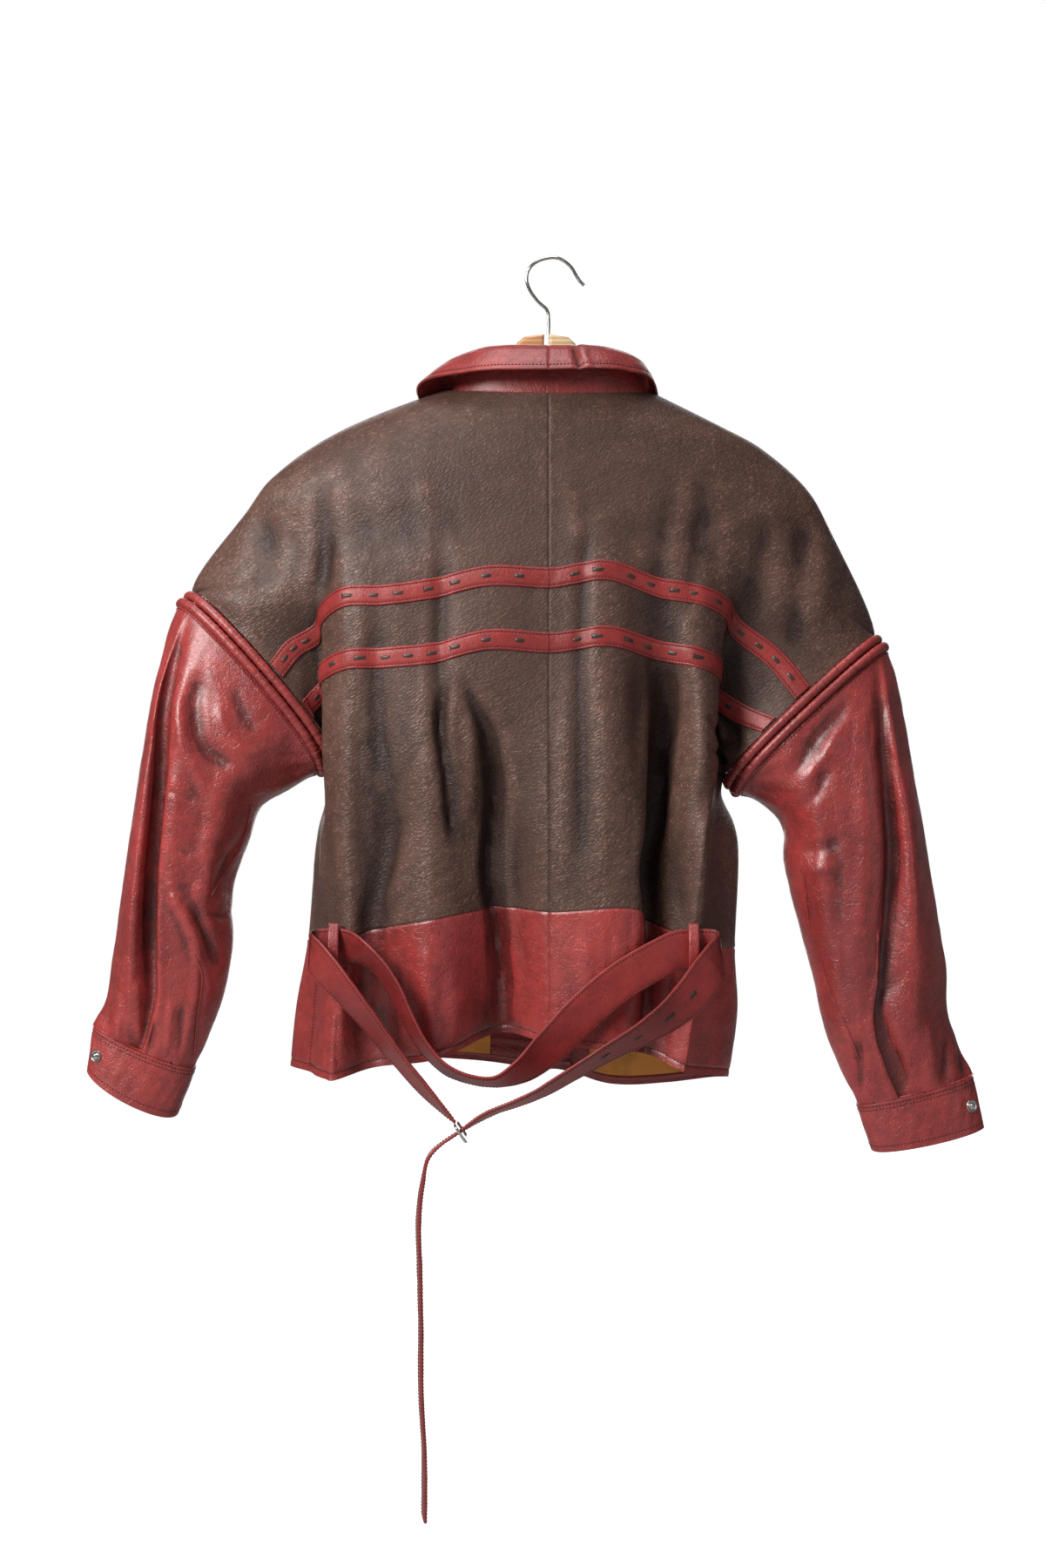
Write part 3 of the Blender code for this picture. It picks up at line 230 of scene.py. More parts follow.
# A sleeve's sections, from its seam to its cuff: outer and inner edge as (x, z), half depth, how far along the
# section the long trough lies, and how deep that trough is.
SLEEVE_SECTIONS = {
    "left": [
        ((-396, -425), (-264, -531), 50, 0.10, 10), ((-408, -492), (-289, -546), 52, 0.17, 17),
        ((-419, -560), (-301, -578), 50, 0.23, 20), ((-429, -628), (-318, -630), 46, 0.30, 21),
        ((-438, -690), (-319, -692), 43, 0.35, 20), ((-447, -743), (-334, -755), 36, 0.43, 16),
        ((-458, -763), (-356, -805), 25, 0.47, 7),
    ],
    "right": [
        ((353, -455), (212, -546), 50, 0.19, 9), ((363, -515), (231, -568), 52, 0.24, 12),
        ((374, -577), (233, -605), 50, 0.29, 13), ((385, -642), (245, -655), 47, 0.37, 13),
        ((396, -705), (260, -712), 43, 0.50, 12), ((400, -765), (279, -786), 37, 0.62, 9),
        ((421, -813), (306, -842), 25, 0.64, 5),
    ],
}
SLEEVE_PLACES = [0, 60, 125, 190, 255, 320, 375, 410]
SLEEVE_CENTRE = 4.0

# The cuffs: outer and inner corner of the top edge and of the bottom edge, as (x, z), half depth, and sag.
CUFFS = {
    "left": (((-459, -763), (-355, -806), 26, 5), ((-465, -804), (-372, -850), 27, 15)),
    "right": (((423, -813), (305, -843), 26, 3), ((434, -864), (320, -889), 27, 5)),
}
CUFF_MOUTH = 7.0
SNAP_TURN = 0.62
SNAP_SEAT = 0.1

# The collar, from the wearer's right front round the back to the left front.
COLLAR_FOLD = [
    (12, 57, -192), (50, 46, -160), (78, 22, -126), (85, -6, -108), (52, -36, -95),
    (-3, -43, -94), (-64, -36, -95), (-92, -6, -109), (-82, 22, -126), (-50, 46, -160), (-12, 57, -192),
]
COLLAR_EDGE = [
    (66, 73, -258), (88, 66, -214), (107, 42, -164), (105, -6, -130.5), (72, -60, -120),
    (-3, -72, -121), (-84, -60, -122), (-134, -6, -132.5), (-116, 42, -166), (-92, 66, -214), (-66, 73, -258),
]
COLLAR_POINTS = [0, 45, 92, 130, 190, 255, 320, 380, 418, 465, 510]
COLLAR_CENTRE = 5
STAND_WALL = 1.5
STAND_DROP = 6.0
STAND_TUCK = (WALL + 0.9, 2.5)
FALL_ROWS = ((0.0, 0.02, 0.14, 0.36, 0.68, 1.0), (0.8, 1.6, 4.0, 5.0, 3.6, 0.8))

# The belt's centre line, each point followed by the way that the belt's width points there.
BELT_WALL = 3.0
BELT = [
    (-94.9, -94, -848.5, 0.1, -0.98, 0.05), (-120, -94, -822, 0.28, -0.94, 0.2),
    (-149, -94, -788, 0.34, -0.90, 0.28), (-177, -94, -752, 0.42, -0.82, 0.36),
    (-199, -94, -725, 0.48, -0.74, 0.46), (-216, -90, -706, 0.40, -0.55, 0.73),
    (-229, -82, -692, 0.18, -0.28, 0.94), (-235, -75, -686, 0.04, -0.05, 1.0), (-231, -70, -684, 0, 0, 1),
    (-222, -69.5, -683, 0, 0, 1), (-212, -70, -683, 0, 0, 1), (-200, -72, -683, 0.1, -0.3, 0.95),
    (-186, -79, -687, 0.3, -0.75, 0.6), (-170, -86, -698, 0.36, -0.88, 0.3), (-155, -92, -718, 0.38, -0.9, 0.2),
    (-141, -95, -746, 0.32, -0.92, 0.2), (-124, -96, -776, 0.25, -0.93, 0.25),
    (-104, -97, -797, 0.12, -0.95, 0.3), (-78, -97, -808, 0.05, -0.95, 0.3), (-54, -97, -810, -0.1, -0.93, 0.35),
    (-30, -96, -800, -0.3, -0.75, 0.6), (-4, -94, -778, -0.5, -0.4, 0.8), (30, -93, -744, -0.62, -0.15, 0.8),
    (66, -91, -714, -0.55, -0.1, 0.85), (100, -88, -694, -0.35, -0.05, 0.95), (122, -82, -684, -0.12, 0.0, 1),
    (137, -79, -683, 0, 0, 1), (150, -78, -683, 0, 0, 1), (159, -79, -684, 0, -0.05, 1),
    (163, -84, -687, -0.1, -0.1, 1), (158, -92, -694, -0.4, -0.2, 0.9), (146, -100, -710, -0.6, -0.25, 0.76),
    (134, -106, -725, -0.62, -0.35, 0.7), (114, -112, -744, -0.5, -0.55, 0.66),
    (88, -116, -761, -0.36, -0.75, 0.55), (55, -118, -779, -0.3, -0.86, 0.4), (20, -116, -800, -0.3, -0.9, 0.3),
    (-10, -112, -818, -0.25, -0.93, 0.25), (-38, -106, -831, -0.15, -0.96, 0.2),
    (-58, -101, -839, -0.2, -0.95, 0.15), (-72, -97, -847, -0.2, -0.97, 0.1), (-88, -94, -858, -0.1, -0.98, 0.05),
    (-104, -93, -868, -0.06, -0.98, 0.05), (-118, -92, -881, 0, -0.98, 0.02), (-125, -92, -908, 0.06, -0.98, 0),
    (-129, -90, -946, 0.1, -0.98, 0), (-128, -88, -990, 0.11, -0.98, 0), (-127, -86, -1050, 0.1, -0.98, 0),
    (-127, -84, -1110, 0.11, -0.98, 0), (-124, -82, -1170, 0.1, -0.98, 0), (-124, -81, -1234, 0.11, -0.98, 0),
]
BUCKLE_AT = (-88, -94, -858)
BUCKLE_UP = (-0.56, 0, 0.83)
BUCKLE_SIZE = (46, 19)
BUCKLE_WIRE = 1.5
BELT_LACE = [(134, -725), (110, -747), (80, -765), (48, -782)]
LOOPS = {"left": (-212, -659, -707, -65.5), "right": (137, -659, -707, -73.5)}

# The hanger: one half of its outline as (x, z) from the joint, and the hook's wire.
HANGER_HALF = [
    (0, -75), (20, -78), (27, -84), (31, -97), (50, -115), (84, -136), (104, -148), (130, -154), (162, -165),
    (190, -179), (199, -188), (196, -197), (186, -195), (140, -181), (90, -164), (30, -152), (0, -149),
]
HANGER_MIDDLE = -5.0
HANGER_JOINT = 0.22
HANGER_TURN = 1.3
HANGER_DROOP = {"left": 1.0, "right": 1.12}
BOARD = 13.0
BOARD_ROUND = 4.0
HOOK_WIRE = 1.7
HOOK = [
    (-3, -74.6), (-2.6, -60), (-3.5, -52), (-14, -41), (-22, -29), (-24.5, -21), (-22.5, -10), (-15, -2.5),
    (-4, 1.4), (7, 1.4), (15, -3), (21, -9), (25, -16), (29, -22), (33, -26),
]

# Folds, each as a line of (x, z) places, its half width, and how deep it sinks. A ridge has a negative depth.
BACK_FOLDS = [
    ([(-222, -205), (-225, -250), (-223, -300), (-226, -350)], 9, 3.2),
    ([(-240, -205), (-237, -260), (-239, -320), (-236, -372)], 9, -1.6),
    ([(-197, -180), (-190, -240), (-184, -300)], 9, 1.2),
    ([(-170, -330), (-172, -400), (-171, -460), (-170, -540)], 10, 2.0),
    ([(-190, -400), (-188, -470), (-186, -560), (-180, -640)], 8, 1.4),
    ([(-128, -215), (-122, -260), (-116, -300)], 9, -1.3),
    ([(-107, -260), (-108, -330), (-110, -420), (-107, -530)], 8, 2.6),
    ([(-93, -408), (-82, -432), (-64, -475), (-57, -520), (-60, -618), (-56, -645), (-49, -790)], 6.5, 7.5),
    ([(-96, -412), (-106, -440), (-101, -520), (-97, -560), (-96, -600)], 6, 5.5),
    ([(-81, -440), (-78, -500), (-80, -570)], 7, -3.0),
    ([(-165, -520), (-158, -580), (-170, -640), (-183, -700)], 12, 2.2),
    ([(-140, -560), (-150, -610), (-168, -655)], 7, -1.2), ([(12, -215), (22, -260), (24, -300)], 9, -1.2),
    ([(30, -205), (34, -260), (30, -330), (27, -420), (28, -540), (25, -660)], 8, 2.3),
    ([(12, -420), (10, -520), (8, -640)], 9, -0.8), ([(52, -400), (54, -500), (50, -640)], 9, -1.0),
    ([(84, -390), (91, -430), (88, -480), (85, -560), (84, -645), (79, -790)], 5, -4.0),
    ([(104, -385), (112, -450), (105, -500), (100, -560), (92, -600), (95, -680)], 7.5, 10.0),
    ([(120, -205), (112, -260), (104, -310), (100, -350)], 9, 1.5),
    ([(132, -205), (128, -250), (122, -300)], 6, -1.1),
    ([(150, -205), (146, -260), (138, -320), (132, -380)], 9, 2.6),
    ([(122, -540), (120, -600), (128, -670)], 9, 1.4), ([(176, -230), (172, -290), (166, -350)], 8, -1.2),
    ([(206, -250), (206, -310), (194, -372)], 9, 1.6),
    ([(240, -230), (247, -300), (238, -370), (226, -405)], 12, 3.0),
    ([(222, -262), (228, -320), (218, -375)], 7, -1.2), ([(300, -285), (292, -330), (284, -368)], 11, 1.4),
    ([(270, -270), (268, -320), (258, -372)], 8, -1.0), ([(-284, -240), (-286, -300), (-294, -350)], 12, 1.6),
    ([(-262, -240), (-262, -300), (-268, -365)], 8, -1.2), ([(-320, -270), (-322, -310), (-330, -345)], 10, 1.0),
    ([(150, -455), (164, -474), (172, -500)], 3.6, 2.4), ([(160, -448), (176, -466), (190, -476)], 3.2, 1.8),
    ([(148, -484), (163, -492), (176, -508)], 3.2, 2.0), ([(172, -462), (167, -484), (177, -502)], 3.2, -1.8),
    ([(182, -470), (186, -484), (180, -500)], 3.0, 1.6), ([(-120, -672), (-124, -715), (-118, -760)], 9, -1.8),
    ([(-86, -720), (-94, -750), (-90, -790)], 8, -1.5), ([(-102, -690), (-108, -740), (-104, -790)], 7, 1.2),
    ([(-207, -740), (-210, -780), (-208, -815)], 3.2, 1.2), ([(-150, -690), (-160, -740), (-150, -800)], 9, 1.6),
    ([(62, -650), (56, -690), (62, -730)], 5, 1.0), ([(30, -660), (36, -710), (28, -780)], 8, -1.2),
    ([(118, -690), (112, -740), (108, -800)], 6, 1.4), ([(-40, -660), (-34, -720), (-38, -770)], 5, -1.4),
]
FRONT_FOLDS = [
    ([(-225, -250), (-232, -310), (-222, -372)], 11, 2.6), ([(-196, -300), (-190, -390), (-184, -470)], 10, -1.6),
    ([(-150, -330), (-158, -440), (-150, -560)], 12, 2.0), ([(-95, -250), (-102, -380), (-96, -520)], 12, -1.8),
    ([(-60, -400), (-58, -520), (-66, -690)], 10, 1.6), ([(-200, -560), (-192, -640), (-200, -760)], 10, 1.8),
    ([(-120, -600), (-128, -690), (-120, -800)], 9, -1.5), ([(222, -280), (214, -340), (196, -400)], 11, 2.6),
    ([(172, -300), (166, -390), (160, -480)], 10, -1.6), ([(120, -330), (128, -440), (120, -560)], 12, 2.0),
    ([(86, -260), (90, -390), (84, -520)], 12, -1.7), ([(140, -560), (134, -650), (138, -800)], 9, 1.6),
    ([(78, -600), (84, -700), (80, -820)], 9, -1.4),
]
SLEEVE_FOLDS = {
    "left": [
        (
            [(-362, -352), (-379, -434), (-386, -524), (-395, -613), (-397, -685), (-394, -739), (-391, -790)],
            5.5, 5.5,
        ),
        ([(-352, -375), (-362, -440), (-368, -530), (-374, -620), (-374, -700)], 9, -2.0),
        ([(-398, -450), (-406, -540), (-414, -630), (-420, -720)], 8, -1.4),
        ([(-340, -400), (-352, -448), (-344, -484), (-318, -504), (-286, -514)], 8, 2.8),
        ([(-366, -420), (-364, -466), (-352, -506), (-334, -536)], 8, -2.6),
        ([(-330, -440), (-316, -476), (-288, -500)], 6, -1.6),
        ([(-318, -420), (-300, -462), (-272, -492)], 5, 1.2),
        ([(-300, -545), (-305, -574), (-321, -599), (-338, -634)], 3, 1.6),
        ([(-350, -690), (-344, -712), (-350, -756), (-357, -798)], 3, 1.6),
        ([(-356, -636), (-343, -664), (-334, -690), (-330, -716)], 6, 4.0),
        ([(-380, -616), (-364, -648), (-352, -674), (-347, -712)], 6, -3.2),
        ([(-340, -648), (-328, -656), (-312, -646)], 4, 1.6),
        ([(-352, -618), (-336, -636), (-318, -638)], 6, -1.6),
        ([(-340, -560), (-336, -610), (-330, -640)], 8, -1.4),
        ([(-356, -500), (-346, -560), (-352, -612)], 9, 0.8),
        ([(-380, -528), (-364, -534), (-346, -542)], 3, 1.0),
        ([(-377, -586), (-364, -589), (-352, -595)], 3, 1.0),
        ([(-381, -632), (-372, -628), (-362, -630)], 3, 0.9),
        ([(-423, -700), (-425, -745), (-424, -782)], 4, 2.2),
        ([(-409, -715), (-410, -752), (-408, -786)], 4, -1.8),
        ([(-391, -755), (-396, -780), (-402, -800)], 4, 2.4),
        ([(-374, -730), (-378, -765), (-382, -800)], 4, -1.6),
        ([(-364, -735), (-366, -770), (-370, -806)], 4, 1.8),
        ([(-436, -715), (-440, -745), (-442, -772)], 4, 1.4),
    ],
    "right": [
        ([(318, -430), (330, -533), (338, -592), (326, -663), (319, -712), (315, -780)], 9, 3.0),
        ([(303, -480), (308, -560), (306, -640), (300, -720)], 9, -2.0),
        ([(352, -480), (356, -560), (358, -640), (360, -720)], 9, -1.8),
        ([(336, -410), (346, -480), (350, -540)], 8, 1.4),
        ([(300, -430), (284, -452), (262, -476), (226, -536)], 8, 3.0),
        ([(286, -462), (272, -490), (248, -526)], 6, -1.8), ([(268, -500), (262, -530), (240, -552)], 6, 1.8),
        ([(244, -582), (258, -590), (270, -586), (282, -572)], 8, 2.4),
        ([(240, -606), (262, -610), (284, -600)], 6, -1.5), ([(250, -619), (254, -640), (256, -666)], 3, 1.4),
        ([(276, -560), (280, -640), (274, -720)], 8, 1.5), ([(388, -640), (390, -700), (392, -770)], 8, 1.4),
        ([(322, -740), (338, -791), (358, -832)], 5, 2.6), ([(394, -770), (391, -800), (388, -825)], 4, 2.0),
        ([(304, -770), (305, -800), (308, -836)], 4, 2.0), ([(372, -750), (376, -790), (376, -826)], 5, -1.8),
        ([(342, -750), (352, -790), (364, -824)], 4, -1.6), ([(322, -780), (328, -808), (336, -834)], 4, -1.4),
        ([(408, -770), (410, -800), (412, -822)], 4, 1.6),
    ],
}
SLEEVE_FRONT_FOLDS = {
    "left": [
        ([(-350, -420), (-356, -520), (-352, -620)], 12, 2.4),
        ([(-300, -520), (-330, -545), (-362, -548)], 9, 2.0),
        ([(-322, -640), (-350, -655), (-380, -650)], 9, 2.4),
        ([(-384, -460), (-392, -560), (-398, -680)], 10, -1.8),
        ([(-392, -720), (-398, -760), (-402, -790)], 5, 2.0),
        ([(-424, -705), (-430, -750), (-434, -776)], 5, 1.6),
        ([(-364, -740), (-370, -775), (-378, -800)], 5, 1.6),
    ],
    "right": [
        ([(318, -450), (322, -540), (320, -640)], 12, 2.4), ([(238, -548), (268, -572), (300, -576)], 9, 2.0),
        ([(250, -650), (280, -668), (312, -662)], 9, 2.4), ([(352, -500), (360, -600), (364, -720)], 10, -1.8),
        ([(344, -770), (350, -800), (358, -828)], 5, 2.0), ([(386, -760), (392, -795), (398, -820)], 5, 1.6),
        ([(312, -780), (318, -810), (326, -834)], 5, 1.6),
    ],
}

# The welts of the underarm seam, where they show.
UNDERARM = {
    "left": [
        [(-298, -545), (-303, -566), (-312, -590), (-325, -612), (-336, -636)],
        [(-351, -692), (-345, -712), (-348, -740), (-352, -768), (-357, -798)],
    ],
    "right": [[(250, -612), (253, -640), (257, -668)], [(268, -700), (276, -730), (292, -764), (306, -800)]],
}

# Where the olive lace shows on each strip: the x of each dash, and past the side folds its share of what is left.
LACE_X = {
    "strip_high": [-198, -173, -148, -121, -95, -64, -33, 22, 46, 77, 97, 121, 137, 161],
    "strip_low": [-215, -187, -164, -140, -117, -95, -64, -33, 24, 45, 73, 91, 116, 143],
}
LACE_SIDE = {
    "strip_high": {"left": (0.10, 0.24, 0.38), "right": (0.12, 0.30, 0.48, 0.66, 0.84)},
    "strip_low": {"left": (0.2, 0.5), "right": (0.3, 0.7)},
}


length_of = partial(FloatProperty, unit="LENGTH")
power_of = partial(FloatProperty, unit="POWER")
colour_of = partial(FloatVectorProperty, subtype="COLOR", size=3)


class JacketSizes(bpy.types.PropertyGroup):
    """Sizes that a maker may change, in metres."""

    strip_width: length_of(name="Strip width", description="Width of the laced strips", default=0.020)
    belt_width: length_of(name="Belt width", description="Width of the belt", default=0.038)
    lace_width: length_of(name="Lace width", description="Width of the olive lace", default=0.0038)
    lace_dash: length_of(name="Lace dash", description="Length of lace in the open", default=0.0105)
    stitch_pitch: length_of(name="Stitch pitch", description="From one stitch to the next", default=0.0034)
    thread: length_of(name="Thread", description="Thickness of the sewing thread", default=0.0009)
    mesh_step: length_of(name="Mesh step", description="Between the points of the leather", default=0.0034)
    fold_share: FloatProperty(
        name="Fold depth", description="Share of their drawn depth that folds take", default=1.55, subtype="FACTOR"
    )


class JacketColours(bpy.types.PropertyGroup):
    """Colours of the leathers and trims, as linear light."""

    olive: colour_of(name="Olive leather", description="Body leather", default=(0.090, 0.047, 0.036))
    red: colour_of(name="Red leather", description="Sleeves, bands and collar", default=(0.325, 0.037, 0.034))
    strip: colour_of(name="Strip leather", description="Laced strips and belt", default=(0.300, 0.031, 0.028))
    lining: colour_of(name="Lining", description="Mustard lining", default=(1.000, 0.400, 0.070))
    wood_pale: colour_of(name="Pale board", description="Right board of the hanger", default=(0.82, 0.58, 0.34))
    # The left board: darker wood, and partly painted shade where that board is turned from the light.
    wood_dark: colour_of(name="Dark board", description="Left board of the hanger", default=(0.74, 0.36, 0.17))
    steel: colour_of(name="Bright metal", description="Hook, buckle and studs", default=(0.72, 0.70, 0.66))


class JacketStage(bpy.types.PropertyGroup):
    """Studio light and floor."""

    key_power: power_of(name="Key light", description="Power of the key light", default=86.0)
    fill_power: power_of(name="Fill light", description="Power of the fill light", default=5.0)
    back_power: power_of(name="Back light", description="Power of the light behind", default=45.0)
    top_power: power_of(name="Top light", description="Power of the light overhead", default=28.0)
    surround: FloatProperty(name="Surround", description="Brightness of the room's light", default=0.13)
    floor_glow: FloatProperty(name="Floor glow", description="Light that the pale floor shows", default=0.98)
    floor_drop: length_of(name="Floor drop", description="Air below the belt", default=0.03)


def sizes():
    return bpy.context.scene.jacket_sizes


def colours():
    return bpy.context.scene.jacket_colours


# Curves and nets.


def spline_weights(places, samples):
    """A matrix that takes values at the places to a smooth curve's values at the samples."""
    places = np.asarray(places, float)
    span = np.diff(places)
    unit_rows = np.eye(len(places))
    chord = (unit_rows[1:] - unit_rows[:-1]) / span[:, None]
    slope = np.empty_like(unit_rows)
    both = (span[1:] + span[:-1])[:, None]
    slope[1:-1] = (span[1:, None] * chord[:-1] + span[:-1, None] * chord[1:]) / both
    slope[0] = 1.5 * chord[0] - 0.5 * slope[1]
    slope[-1] = 1.5 * chord[-1] - 0.5 * slope[-2]
    samples = np.asarray(samples, float)
    i = np.clip(np.searchsorted(places, samples, side="right") - 1, 0, len(places) - 2)
    h = span[i][:, None]
    t = (samples - places[i])[:, None] / h
    return (
        (2 * t**3 - 3 * t**2 + 1) * unit_rows[i]
        + (t**3 - 2 * t**2 + t) * h * slope[i]
        + (3 * t**2 - 2 * t**3) * unit_rows[i + 1]
        + (t**3 - t**2) * h * slope[i + 1]
    )


def smooth_line(points, step):
    """A smooth curve through the points, with samples about a step apart."""
    points = np.asarray(points, float)
    lengths = np.linalg.norm(np.diff(points[:, :3], axis=0), axis=1)
    places = np.concatenate([[0], np.cumsum(lengths)])
    return spline_weights(places, np.linspace(0, places[-1], max(int(places[-1] / step), 2) + 1)) @ points


def unit(vectors):
    """The vectors at length one."""
    return vectors / np.maximum(np.linalg.norm(vectors, axis=-1, keepdims=True), 1e-9)


def run_lengths(points):
    """The length along a line of points at each of them."""
    return np.concatenate([[0], np.cumsum(np.linalg.norm(np.diff(points, axis=0), axis=1))])


def at_place(line, run, place):
    """The point, or the points, at a length along a line of points."""
    return np.stack([np.interp(place, run, part) for part in line.T], axis=-1)


def bell(distance, width):
    """From 1 at no distance down to almost nothing at twice the width."""
    return np.exp(-((distance / width) ** 2))


def places_between(start, end, fine=()):
    """Places about a mesh step apart from start to end, and closer ones beside the ends that carry a seam."""
    step = sizes().mesh_step / MM
    count = max(round((end - start) / step), 2)
    places = list(np.linspace(start, end, count + 1))
    for near in (0.6, 1.4, 2.3):
        if "start" in fine:
            places.append(start + near)
        if "end" in fine:
            places.append(end - near)
    return np.array(sorted(places))


def grid_normals(points, closed=False):
    """Unit normals of a grid of points, from its rows across its columns."""
    if closed:
        wrapped = np.concatenate([points[:, -2:-1], points, points[:, 1:2]], axis=1)
        along = np.gradient(wrapped, axis=1)[:, 1:-1]
    else:
        along = np.gradient(points, axis=1)
    return unit(np.cross(along, np.gradient(points, axis=0)))


def seam_direction(side):
    """The way that leads from a sleeve seam down the sleeve, square to the seam's own plane."""
    tip, armpit = np.array((TIP[side], ARMPIT[side]), float)
    along = armpit - tip
    down = np.array([along[2], 0, -along[0]])
    return unit(-down if down[2] > 0 else down)


def seam_point(side, face, share, beyond=0.0):
    """A point of a sleeve seam, from 0 at the tip to 1 at the armpit, on the back or the front face."""
    tip, armpit = np.array((TIP[side], ARMPIT[side]), float)
    turn = math.pi * share
    swing = math.sin(turn) ** 0.8 if 0 < share < 1 else 0.0
    point = tip + (armpit - tip) * (1 - math.cos(turn)) / 2
    point[1] += SEAM_BULGE[face] * swing * (-1 if face == "back" else 1)
    return point + seam_direction(side) * (beyond - SEAM_BOW[side] * swing)


def beside_seam(side, face, share, beyond):
    """A point that runs along beside the seam, with slack at the armpit."""
    return seam_point(side, face, share, beyond + ARMPIT_SLACK * max(-math.cos(math.pi * share), 0) ** 4)


def seam_loop(side, count, beyond):
    """A closed ring of points beside the whole seam: down the back and up the front."""
    down = [beside_seam(side, "back", i / count, beyond) for i in range(count)]
    up = [beside_seam(side, "front", 1 - i / count, beyond) for i in range(count)]
    return np.array(down + up)


def arc_row(end, middle, places):
    """Points from an end of a row to its middle, on a quarter of an ellipse."""
    end, middle = np.array(end, float), np.array(middle, float)
    turn = (np.array(places, float) - places[-1]) / (places[0] - places[-1]) * math.pi / 2
    points = np.empty((len(places), 3))
    points[:, 0] = middle[0] + (end[0] - middle[0]) * np.sin(turn)
    points[:, 1] = middle[1] + (end[1] - middle[1]) * (1 - np.cos(turn))
    points[:, 2] = middle[2] + (end[2] - middle[2]) * (1 - np.cos(turn)) ** 0.8
    return points


def back_rows():
    """The back as an array of rows by columns by (x, y, z)."""
    rows = []
    for name in ROWS:
        if name in YOKE:
            left_end, middle, right_end, _ = YOKE[name]
            left = arc_row(left_end, middle, BACK_PLACES[: CENTRE_COLUMN + 1])
            right = arc_row(right_end, middle, BACK_PLACES[: CENTRE_COLUMN - 1 : -1])
            rows.append(np.concatenate([left, right[-2::-1]]))
        elif name in BACK_ROWS:
            ends = [seam_point(side, "back", SEAM_ROWS[name][i]) for i, side in enumerate(("left", "right"))]
            rows.append(np.array([ends[0], *BACK_ROWS[name], ends[1]], float))
        else:
            rows.append(np.array(LOWER_BACK_ROWS[name], float))
    return np.array(rows)


def front_rows(side, back):
    """One front as rows, from its side seam past the centre front to the end of the lap."""
    k = ("left", "right").index(side)
    edge, past = (0, LAP) if side == "left" else (-1, -LAP)
    rows = []
    for i, name in enumerate(ROWS):
        if name in YOKE:
            row = arc_row(YOKE[name][2 * k], YOKE[name][3], FRONT_PLACES[: CENTRE_FRONT + 1])
        else:
            first = seam_point(side, "front", SEAM_ROWS[name][k]) if name in SEAM_ROWS else back[i, edge]
            row = np.array([first, *FRONT_ROWS[side][name]], float)
        rows.append(np.concatenate([row, [row[-1] + (past, 0, 0)]]))
    return np.array(rows)


class Panel:
    """A smooth leather surface through rows of points, with its edges set exactly on the sleeve seams."""

    def __init__(self, rows, places, before, after, seams, edges, outward, folds):
        first, past = before
        last, beyond = after
        self.places = [places[0] - first, *places, places[-1] + last]
        self.columns = places
        self.rows = np.concatenate([past[:, None], rows, beyond[:, None]], axis=1)
        self.seams, self.edges, self.outward, self.folds = seams, edges, outward, folds

    def at(self, heights, columns):
        """Points for each height and each column."""
        down = spline_weights(ROW_PLACES, heights)
        across = spline_weights(self.places, columns)
        points = np.einsum("vr,rck,uc->vuk", down, self.rows, across)
        for side, face, edge in self.seams:
            self.meet_seam(points, down, heights, columns, side, face, edge)
        return points

    def meet_seam(self, points, down, heights, columns, side, face, edge):
        """Shifts the edge beside a sleeve onto the seam, and the leather near it by less and less."""
        on_edge = down @ self.rows[:, 1 if edge == 0 else -2]
        shared = down @ self.edges[side]
        reach = abs(self.columns[edge] - self.columns[2 if edge == 0 else -3])
        near = np.clip(1 - np.abs(np.array(columns) - self.columns[edge]) / reach, 0, 1) ** 2
        ends = [share[("left", "right").index(side)] for share in SEAM_ROWS.values()]
        shares = np.interp(heights, [ROWS[name] for name in SEAM_ROWS], ends)
        for i, height in enumerate(heights):
            on_seam = ROWS["tip"] <= height <= ROWS["armpit"]
            target = seam_point(side, face, shares[i]) if on_seam else shared[i]
            points[i] += near[:, None] * (target - on_edge[i])

    def normals(self, heights, columns):
        """Unit normals that look out of the jacket."""
        step = 0.5
        heights, columns = np.asarray(heights, float), np.asarray(columns, float)
        along = self.at(heights, columns + step) - self.at(heights, columns - step)
        down = self.at(heights + step, columns) - self.at(heights - step, columns)
        return unit(np.cross(along, down)) * self.outward

    def worn(self, heights, columns):
        """Points and normals with the folds of a worn jacket in them. The edges beside the sleeves stay on the
        seams.
        """
        points, normals = self.at(heights, columns), self.normals(heights, columns)
        sink = fold_depths(points, self.folds) + creases(points, 24, 0.7, (1, 1, 2.4))
        sink *= np.interp(points[..., 2], (-340, -250), (1.0, 0.5))
        for _, _, edge in self.seams:
            sink = sink * np.clip(np.abs(np.array(columns) - self.columns[edge]) / 16, 0, 1)
        return points - normals * sink[..., None], normals


def wrap_neighbours(back, left, right):
    """For each row, the point past each side seam, so that the leather runs smoothly round the side."""
    beyond = [left[:, 1].copy(), right[:, 1].copy(), back[:, 1].copy(), back[:, -2].copy()]
    for i, name in enumerate(ROWS):
        if name in SEAM_ROWS and name not in ("tip", "armpit"):
            pairs = ((back, 0, 1), (back, -1, -2), (left, 0, 1), (right, 0, 1))
            for past, (rows, edge, inside) in zip(beyond, pairs):
                past[i] = 2 * rows[i, edge] - rows[i, inside]
    return beyond


